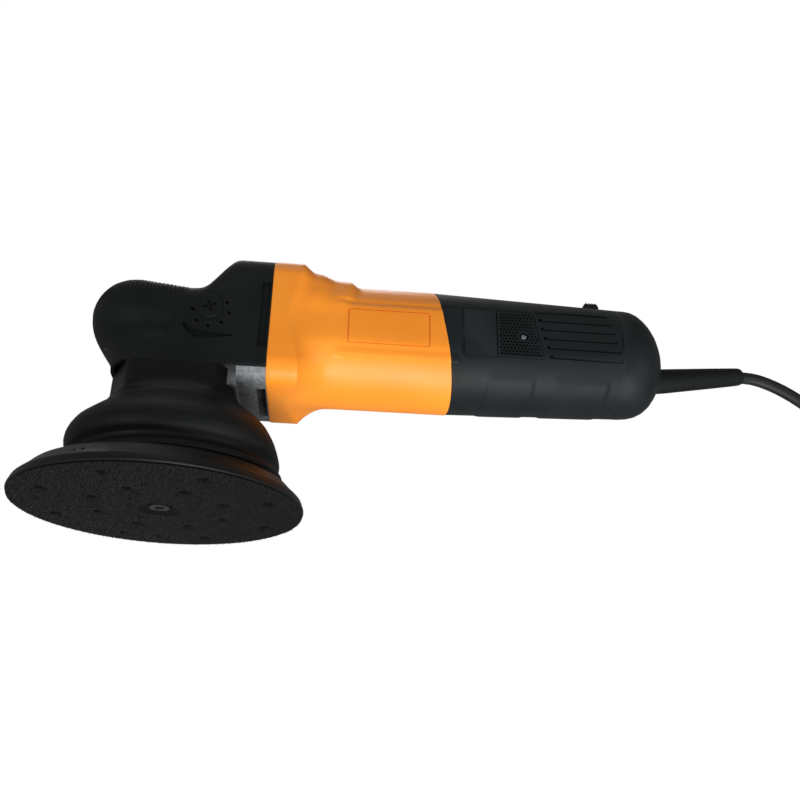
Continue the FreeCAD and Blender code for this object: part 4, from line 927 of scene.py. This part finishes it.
def carve_cover(skin):
    """Screw boss with a cross recess, pips round it, a bow-shaped pocket and the air slots. The air slots
    are cut blind, so their black rubber floor is painted shade in place of the dark gap inside the open
    slots.
    """
    cross = at_boss(cross_slot(20))
    pocket = at_boss(BOSS_POCKET)
    notch = [(38.6, 77), (43.4, 77), (43.4, 116), (38.6, 116)]
    tools = []
    for sign in (-1, 1):
        levels = on_side(sign, COLLAR_HALF - 0.8, COLLAR_HALF + 0.55)
        button = prism(disc(BOSS_X, BOSS_Z, 7.15, 48), *levels)
        cap = piece(f"boss_cap_{sign + 1}", *button, RUBBER)
        soften(cap, 0.45, 3)
        carve(cap, [prism(cross, *into_collar(sign, 0.45))], 40)
        tools.append(prism(disc(BOSS_X, BOSS_Z, 7.3, 48), *into_collar(sign, 0.9)))
        for x, z in at_boss(BOSS_PIPS):
            tools.append(prism(disc(x, z, 1.15, 12), *into_collar(sign, 1.3)))
        tools.append(prism(pocket, *into_collar(sign, 1.4)))
        # Air slot cut blind: its black rubber floor is painted shade standing in for the dark inside of the
        # open slot.
        tools.append(prism(notch, *on_side(sign, 34.7, 40.0)))
    carve(skin, tools, 40)


# --- motor housing ------------------------------------------------------------------------------

BARREL = 34.5
COLLAR_CORNER = 12.0
HOUSING_STEPS = 84.0

# Behind the collar's ridge: distances, and how much of its square shape is left at each.
BELOW_COLLAR = (
    [0, 2.5, 5, 7, 9, 11, 13.5, 16.5, 20, 24],
    [0.97, 0.72, 0.53, 0.4, 0.29, 0.2, 0.11, 0.045, 0.01, 0],
)
ABOVE_COLLAR = (
    [0, 2.5, 4.6, 6.4, 9.6, 11.6, 14, 17, 18.6, 26, 28, 30, 32],
    [0.985, 0.8, 0.66, 0.6, 0.57, 0.51, 0.42, 0.33, 0.31, 0.285, 0.16, 0.04, 0],
)


def flank(x):
    """Half width of the flat sides at a place along the handle."""
    return 32.7 - 2.2 * ease(146.0, 146.6, x)


def side_rails(z, x):
    """Raised rail under the side band and soft groove over it, up to where the door begins."""
    reach = ease(76, 84, x) * (1 - ease(145.4, 146.0, x))
    rail = 1.0 * ease(77.6, 78.2, z) * (1 - ease(79.4, 83.4, z))
    groove = 0.7 * bump(109.8, 1.4, z)
    return (rail - groove) * reach


def barrel_radius(angle, x, base):
    """Round barrel with two flat sides, and the rails that edge them."""
    c = np.abs(np.cos(angle))
    flat = flank(x) / np.maximum(c, 0.05)
    radius = soft_min(70.0, np.broadcast_to(base, flat.shape), flat)
    z = MOTOR_Z + radius * np.sin(angle)
    return radius + side_rails(z, x) * ease(0.35, 0.6, c)


def panel_outline(corner):
    """The side panel's edge, with corners of a given radius."""
    points = []
    for x, z, first in ((128.0, 104.2, 0), (86.0, 104.2, 90), (86.0, 86.0, 180), (128.0, 86.0, 270)):
        for k in range(4):
            a = math.radians(first + 30 * k)
            points.append((x + corner * math.cos(a), z + corner * math.sin(a)))
    return points


def motor_housing():
    """Square collar whose corners sink into the round barrel, with a step on its shoulders."""
    angle = full_turn(384)
    square = rounded_square(angle, COLLAR_HALF, COLLAR_CORNER)
    ridge = 54.3 + 6.0 * np.sin(2 * angle) ** 2
    upper = ease(0.1, 0.45, np.sin(angle))
    front = 44.0
    rows = []

    def row(radius, x):
        along = np.broadcast_to(x, angle.shape)
        rows.append(np.stack([along, radius * np.cos(angle), MOTOR_Z + radius * np.sin(angle)], axis=1))

    row(square - 2.4, front)
    row(square - 0.7, front)
    row(square - 0.15, front + 0.3)
    for t in np.linspace(0.05, 0.96, 8):
        row(square, 44.2 + (ridge - 44.2) * t)
    row(square - 0.12, ridge - 0.15)
    steps = np.concatenate([np.linspace(0.4, 34, 62), np.linspace(35, 200, 120)])
    length = SEAM_X - SEAM_SLOPE * (BARREL * np.sin(angle)) - ridge
    for step in steps[steps <= HOUSING_STEPS]:
        d = step * length / HOUSING_STEPS
        x = ridge + d
        base = barrel_radius(angle, x, BARREL)
        blend = np.interp(d, *BELOW_COLLAR) * (1 - upper) + np.interp(d, *ABOVE_COLLAR) * upper
        row(base + np.maximum(square - base, 0) * blend, x)
    x = ridge + length
    row(barrel_radius(angle, x, BARREL), x)
    row(barrel_radius(angle, x, BARREL) - 1.2, x)
    shell = piece("motor_shell", *grid(rows), ORANGE, instead=("motor_housing",), crease=28)
    thicken(shell, 2.2, 28)
    inner, outer = panel_outline(0.4), panel_outline(1.15)
    tools = []
    for sign in (-1, 1):
        low, high = on_side(sign, 31.9, 37.0)
        loops = ((inner, low), (outer, low), (outer, high), (inner, high), (inner, low))
        tools.append(grid([[(a, level, b) for a, b in loop] for loop, level in loops]))
    carve(shell, tools, 28)


# --- handle ---------------------------------------------------------------------------------------

# Side grooves: height of each, and where it begins and ends along the handle.
GROOVES = [
    (112.1, 187.5, 229.2), (106.7, 189, 231), (101.3, 190.4, 232.2),
    (95.7, 191.7, 233.3), (90.1, 193.2, 234.9), (84.7, 194.6, 236),
]
GROOVE_HEIGHT = 2.2
HANDLE_FRONT_RADIUS = 34.35
HANDLE_REAR_RADIUS = 31.65
DOOR_POCKET = [
    (147.6, 82.8), (166.0, 82.8), (191.9, 82.8), (186.3, 111.2), (166.0, 111.2), (147.6, 111.2),
    (147.6, 101.0), (145.7, 101.0), (145.7, 92.0), (147.6, 92.0),
]
VENT_WINDOW = [(169.5, 86), (184, 86), (181, 108), (169.5, 108)]
DIAL_WINDOW = [(202.2, 94.4), (221.8, 94.4), (221.8, 100.6), (202.2, 100.6)]
DOOR_OUTLINE = [
    (147.85, 83.05), (165.75, 83.05), (165.75, 110.95), (147.85, 110.95),
    (147.85, 100.75), (145.95, 100.75), (145.95, 92.25), (147.85, 92.25),
]
COVER_OUTLINE = [(166.2, 83.2), (191.6, 83.2), (186.0, 110.8), (166.2, 110.8)]


def handle_radius(x):
    taper = HANDLE_REAR_RADIUS - HANDLE_FRONT_RADIUS
    return HANDLE_FRONT_RADIUS + taper * (np.asarray(x, float) - SEAM_X) / (HANDLE_END - SEAM_X)


def grip_pads(angle, x):
    """Long raised pads on the underside of the handle."""
    around = ease(0.62, 0.8, -np.sin(angle))
    along = window(163, 186, 2.5, x) + window(199, 228, 2.5, x)
    return 0.5 * around * along


def half_shell(side, sign):
    """One half of the handle's skin, given a wall; its front end follows the slanting seam."""
    first = math.radians(90.15 if sign < 0 else -89.85)
    angle = np.linspace(first, first + math.radians(179.7), 190)
    start = SEAM_X - SEAM_SLOPE * (34.4 * np.sin(angle)) + 0.12
    rows = []
    for t in np.concatenate([[0, 0.002], np.linspace(0.004, 0.09, 14), np.linspace(0.096, 1, 86)]):
        x = start + (HANDLE_END - start) * t
        radius = barrel_radius(angle, x, handle_radius(x)) + grip_pads(angle, x)
        if t == 0:
            radius = radius - 0.35
        rows.append(np.stack([x, radius * np.cos(angle), MOTOR_Z + radius * np.sin(angle)], axis=1))
    skin = grid(rows, closed=False)
    shell = piece(f"handle_half_{side}", *skin, NYLON, instead=(f"handle_shell_{side}",), crease=30)
    thicken(shell, 2.4, 30)
    return shell


def handle_shells():
    """Two half shells, parted at top and bottom, with slots, a door and a vent window."""
    for side, sign in (("near", -1), ("far", 1)):
        shell = half_shell(side, sign)
        through = on_side(sign, 26.0, 40.0)
        tools = [prism(DOOR_POCKET, *on_side(sign, 28.45, 40.0))]
        tools.append(prism(VENT_WINDOW, *on_side(sign, 20.0, 28.46)))
        for z, front, back in GROOVES:
            if sign > 0 and 93 < z < 102:  # these two give way to the dial's window
                continue
            tools.append(prism(pill(front, back, z, GROOVE_HEIGHT), *on_side(sign, 28.7, 40.0)))
            tools.append(prism(pill(front + 1.5, back, z + 0.4, 1.3), *through))
        y0, y1 = on_side(sign, -0.5, 3.6)
        switch_slot = [(219.2, y0), (231.9, y0), (231.9, y1), (219.2, y1)]
        tools.append(prism(switch_slot, 118, 140, "XY"))
        if sign > 0:
            tools.append(prism(DIAL_WINDOW, *through))
        carve(shell, tools, 30)


def brush_doors():
    """Plain snap-in doors over the brushes, with a finger tab and a soft edge."""
    for side, sign in (("near", -1), ("far", 1)):
        plate_shape = prism(DOOR_OUTLINE, *on_side(sign, 28.5, 30.42))
        door = piece(f"brush_flap_{side}", *plate_shape, NYLON, instead=(f"brush_door_{side}",))
        soften(door, 0.25)


def vent_covers():
    """Covers beside the doors, pierced by a slanting lattice of small holes round a sunk screw."""
    for side, sign in (("near", -1), ("far", 1)):
        plate_shape = prism(COVER_OUTLINE, *on_side(sign, 28.5, 30.42))
        cover = piece(f"vent_lattice_{side}", *plate_shape, NYLON, instead=(f"vent_cover_{side}",))
        soften(cover, 0.25)
        through = on_side(sign, 28.0, 31.0)
        tools = [prism(disc(VENT_SCREW_X, VENT_SCREW_Z, 2.6, 24), *through)]
        for row in range(14):
            z = 84.9 + 1.84 * row
            for column in range(13):
                x = 168.0 + 1.9 * column + (row % 2) * 0.95
                edge = 191.6 - 5.6 * (z - 83.2) / 27.6
                if x < edge - 1.4 and math.hypot(x - VENT_SCREW_X, z - VENT_SCREW_Z) > 3.6:
                    tools.append(prism(disc(x, z, 0.66, 6), *through))
        carve(cover, tools, 30)


def cover_screws():
    """Pan-head cross screws sunk in the lattice covers."""
    shrink = 0.42
    profile = ((27.0, 0.9), (28.2, 0.9), (28.2, 1.75), (28.9, 1.7), (29.3, 1.35), (29.45, 0.6))
    heads, slots = [], []
    for sign in (-1, 1):
        rows = []
        for level, radius in profile:
            circle = disc(VENT_SCREW_X, VENT_SCREW_Z, radius, 32)
            rows.append([(a, sign * level, b) for a, b in circle])
        heads.append(grid(rows, caps=(True, True)))
        corners = []
        for u, v in cross_slot(35):
            corners.append((VENT_SCREW_X + shrink * u, VENT_SCREW_Z + shrink * v))
        slots.append(prism(corners, *on_side(sign, 28.9, 30.0)))
    screws = piece("lattice_screws", *blocks(heads), STEEL, instead=("vent_cover_screws",))
    carve(screws, slots, 35)


def slot_slider():
    """Sliding switch cap with grip ribs."""
    outline = [(223.4, 129.9), (232.4, 129.9), (232.4, 130.8), (231.6, 132.4)]
    for k in range(4):
        x = 230.6 - 1.75 * k
        outline += [(x, 133.35), (x - 0.55, 133.35), (x - 0.8, 132.7), (x - 0.95, 132.7)]
    outline += [(223.9, 132.6), (223.4, 131.4)]
    cap = prism(outline, -7.6, 7.6)
    neck = prism([(224.8, 121), (230.8, 121), (230.8, 130.2), (224.8, 130.2)], -2.6, 2.6)
    foot = prism([(223.0, 120.4), (233.0, 120.4), (233.0, 122.8), (223.0, 122.8)], -6, 6)
    slider = piece("slide_cap", *blocks([cap, neck, foot]), NYLON, "slider", ("switch_slider",))
    soften(slider, 0.2)


def bumper():
    """Domed rubber end with a hole for the sleeve, and a soft bead where it meets the handle."""
    skin = [
        (31.2, 236.4), (31.6, 237.0), (31.5, 244.0), (31.1, 247.6), (30.1, 250.8), (28.3, 253.8),
        (25.8, 256.6), (22.4, 259.3), (18.4, 261.6), (14.0, 263.3), (9.5, 264.5), (5.0, 265.2),
        (0.05, 265.5),
    ]
    inside = [
        (0.05, 263.0), (6.5, 262.6), (15, 259.8), (21.5, 255.4), (25.8, 250.0), (28.2, 246), (29, 240),
        (29, 236.4),
    ]
    points, faces = turned(skin + inside, 160, (0, 0, MOTOR_Z), "X")
    points[:, 0] -= 0.09 * (points[:, 2] - MOTOR_Z) * ease(240, 256, points[:, 0])
    cap = piece("end_dome", points, faces, NYLON, instead=("rear_bumper",), crease=40)
    rows = []
    for along in (10, 45):
        rows.append(ring(RELIEF_FOOT + RELIEF_AXIS * along, ACROSS, RELIEF_UP, 7.45, 40))
    carve(cap, [grid(rows, caps=(True, True))], 40)


# --- CAD nodes that keep their own shape --------------------------------------------------------

FINISH = {
    "orange_shell": ORANGE,
    "black_shell": NYLON,
    "black_rubber": RUBBER,
    "cast_alloy": ALLOY,
    "steel": STEEL,
    "dark_steel": BLACK_STEEL,
    "hook": WEAVE,
    "foam": RIM,
    "plate_plastic": RIM,
    "copper": COPPER,
    "laminations": STACK,
    "white_plastic": WHITE,
    "carbon": CARBON,
    "board": BOARD,
    "bronze": BRONZE,
}


def dress_cad():
    """Better materials on the CAD nodes that show as they are."""
    slots = {row["node"]: row["material_slot"] for row in frame["record"]["subparts"]}
    for name in sorted(LEFT_OVER):
        for place in NODES[name].material_slots:
            place.material = FINISH[slots[name]]


# --- camera, light and floor ----------------------------------------------------------------------


def camera():
    """Just below the pad's plane and to the left, looking up at the machine."""
    turn = Vector((-0.41191704, -0.09827725, 0.03778726))
    tilt = Matrix.Rotation(turn.length, 3, turn.normalized())
    view = tilt @ Matrix(((1, 0, 0), (0, 0, -1), (0, 1, 0)))
    shift = Vector((-0.11708, 0.0551525, 0.435288))
    data = bpy.data.cameras.new("camera")
    data.sensor_width = 36
    data.lens = 38.25
    data.clip_start = 0.01
    data.clip_end = 50
    obj = bpy.data.objects.new("camera", data)
    bpy.context.scene.collection.objects.link(obj)
    flip = Matrix(((1, 0, 0), (0, -1, 0), (0, 0, -1)))
    place = Matrix.Translation(-(view.transposed() @ shift))
    obj.matrix_world = place @ (view.transposed() @ flip).to_4x4()
    bpy.context.scene.camera = obj


MACHINE_MIDDLE = (0.12, 0, 0.08)


def lamp(name, place, size, power):
    """A soft rectangular lamp, aimed at the middle of the machine."""
    data = bpy.data.lights.new(name, "AREA")
    data.shape = "RECTANGLE"
    data.size, data.size_y = size
    data.energy = power
    obj = bpy.data.objects.new(name, data)
    obj.location = place
    aim = Vector(MACHINE_MIDDLE) - Vector(place)
    obj.rotation_euler = aim.to_track_quat("-Z", "Y").to_euler()
    bpy.context.scene.collection.objects.link(obj)


def studio():
    """White surround, a large soft lamp from below in front, and weaker ones above and behind."""
    world = bpy.data.worlds.new("studio")
    bpy.context.scene.world = world
    world.use_nodes = True
    tree = world.node_tree
    background = tree.nodes["Background"]
    path = tree.nodes.new("ShaderNodeLightPath")
    level = tree.nodes.new("ShaderNodeMapRange")
    level.inputs["To Min"].default_value = 0.24
    level.inputs["To Max"].default_value = 1.0
    tree.links.new(path.outputs["Is Camera Ray"], level.inputs["Value"])
    tree.links.new(level.outputs["Result"], background.inputs["Strength"])
    background.inputs["Color"].default_value = (1, 1, 1, 1)
    lamp("below", (0.3, -0.4, -1.0), (0.8, 0.5), 15)
    lamp("right_side", (0.9, -0.85, -0.3), (0.5, 0.5), 3.5)
    lamp("left_side", (-0.7, -0.8, -0.25), (0.4, 0.4), 3)
    lamp("above", (-0.1, -0.2, 1.0), (0.8, 0.5), 1.6)
    lamp("rear", (-0.1, 0.7, 1.3), (0.8, 0.5), 5)
    mesh = bpy.data.meshes.new("floor")
    reach = 8.0
    corners = [(-reach, -reach, 0), (reach, -reach, 0), (reach, reach, 0), (-reach, reach, 0)]
    mesh.from_pydata(corners, [], [(0, 1, 2, 3)])
    floor = bpy.data.objects.new("floor", mesh)
    floor.location.z = -0.0002
    bpy.context.scene.collection.objects.link(floor)
    mesh.materials.append(studio_floor())
    floor.visible_shadow = False
    floor.visible_diffuse = False
    floor.visible_glossy = False
    bpy.context.scene.view_settings.view_transform = "Standard"


# --- the whole machine ----------------------------------------------------------------------------

camera()
cord_piece, cord_exit = cord()
plug_pieces = plug()
sleeve = strain_relief()
studio()
hook_face()
hooks()
plate()
shroud()
head_cover()
motor_housing()
handle_shells()
brush_doors()
vent_covers()
cover_screws()
slot_slider()
bumper()
dress_cad()
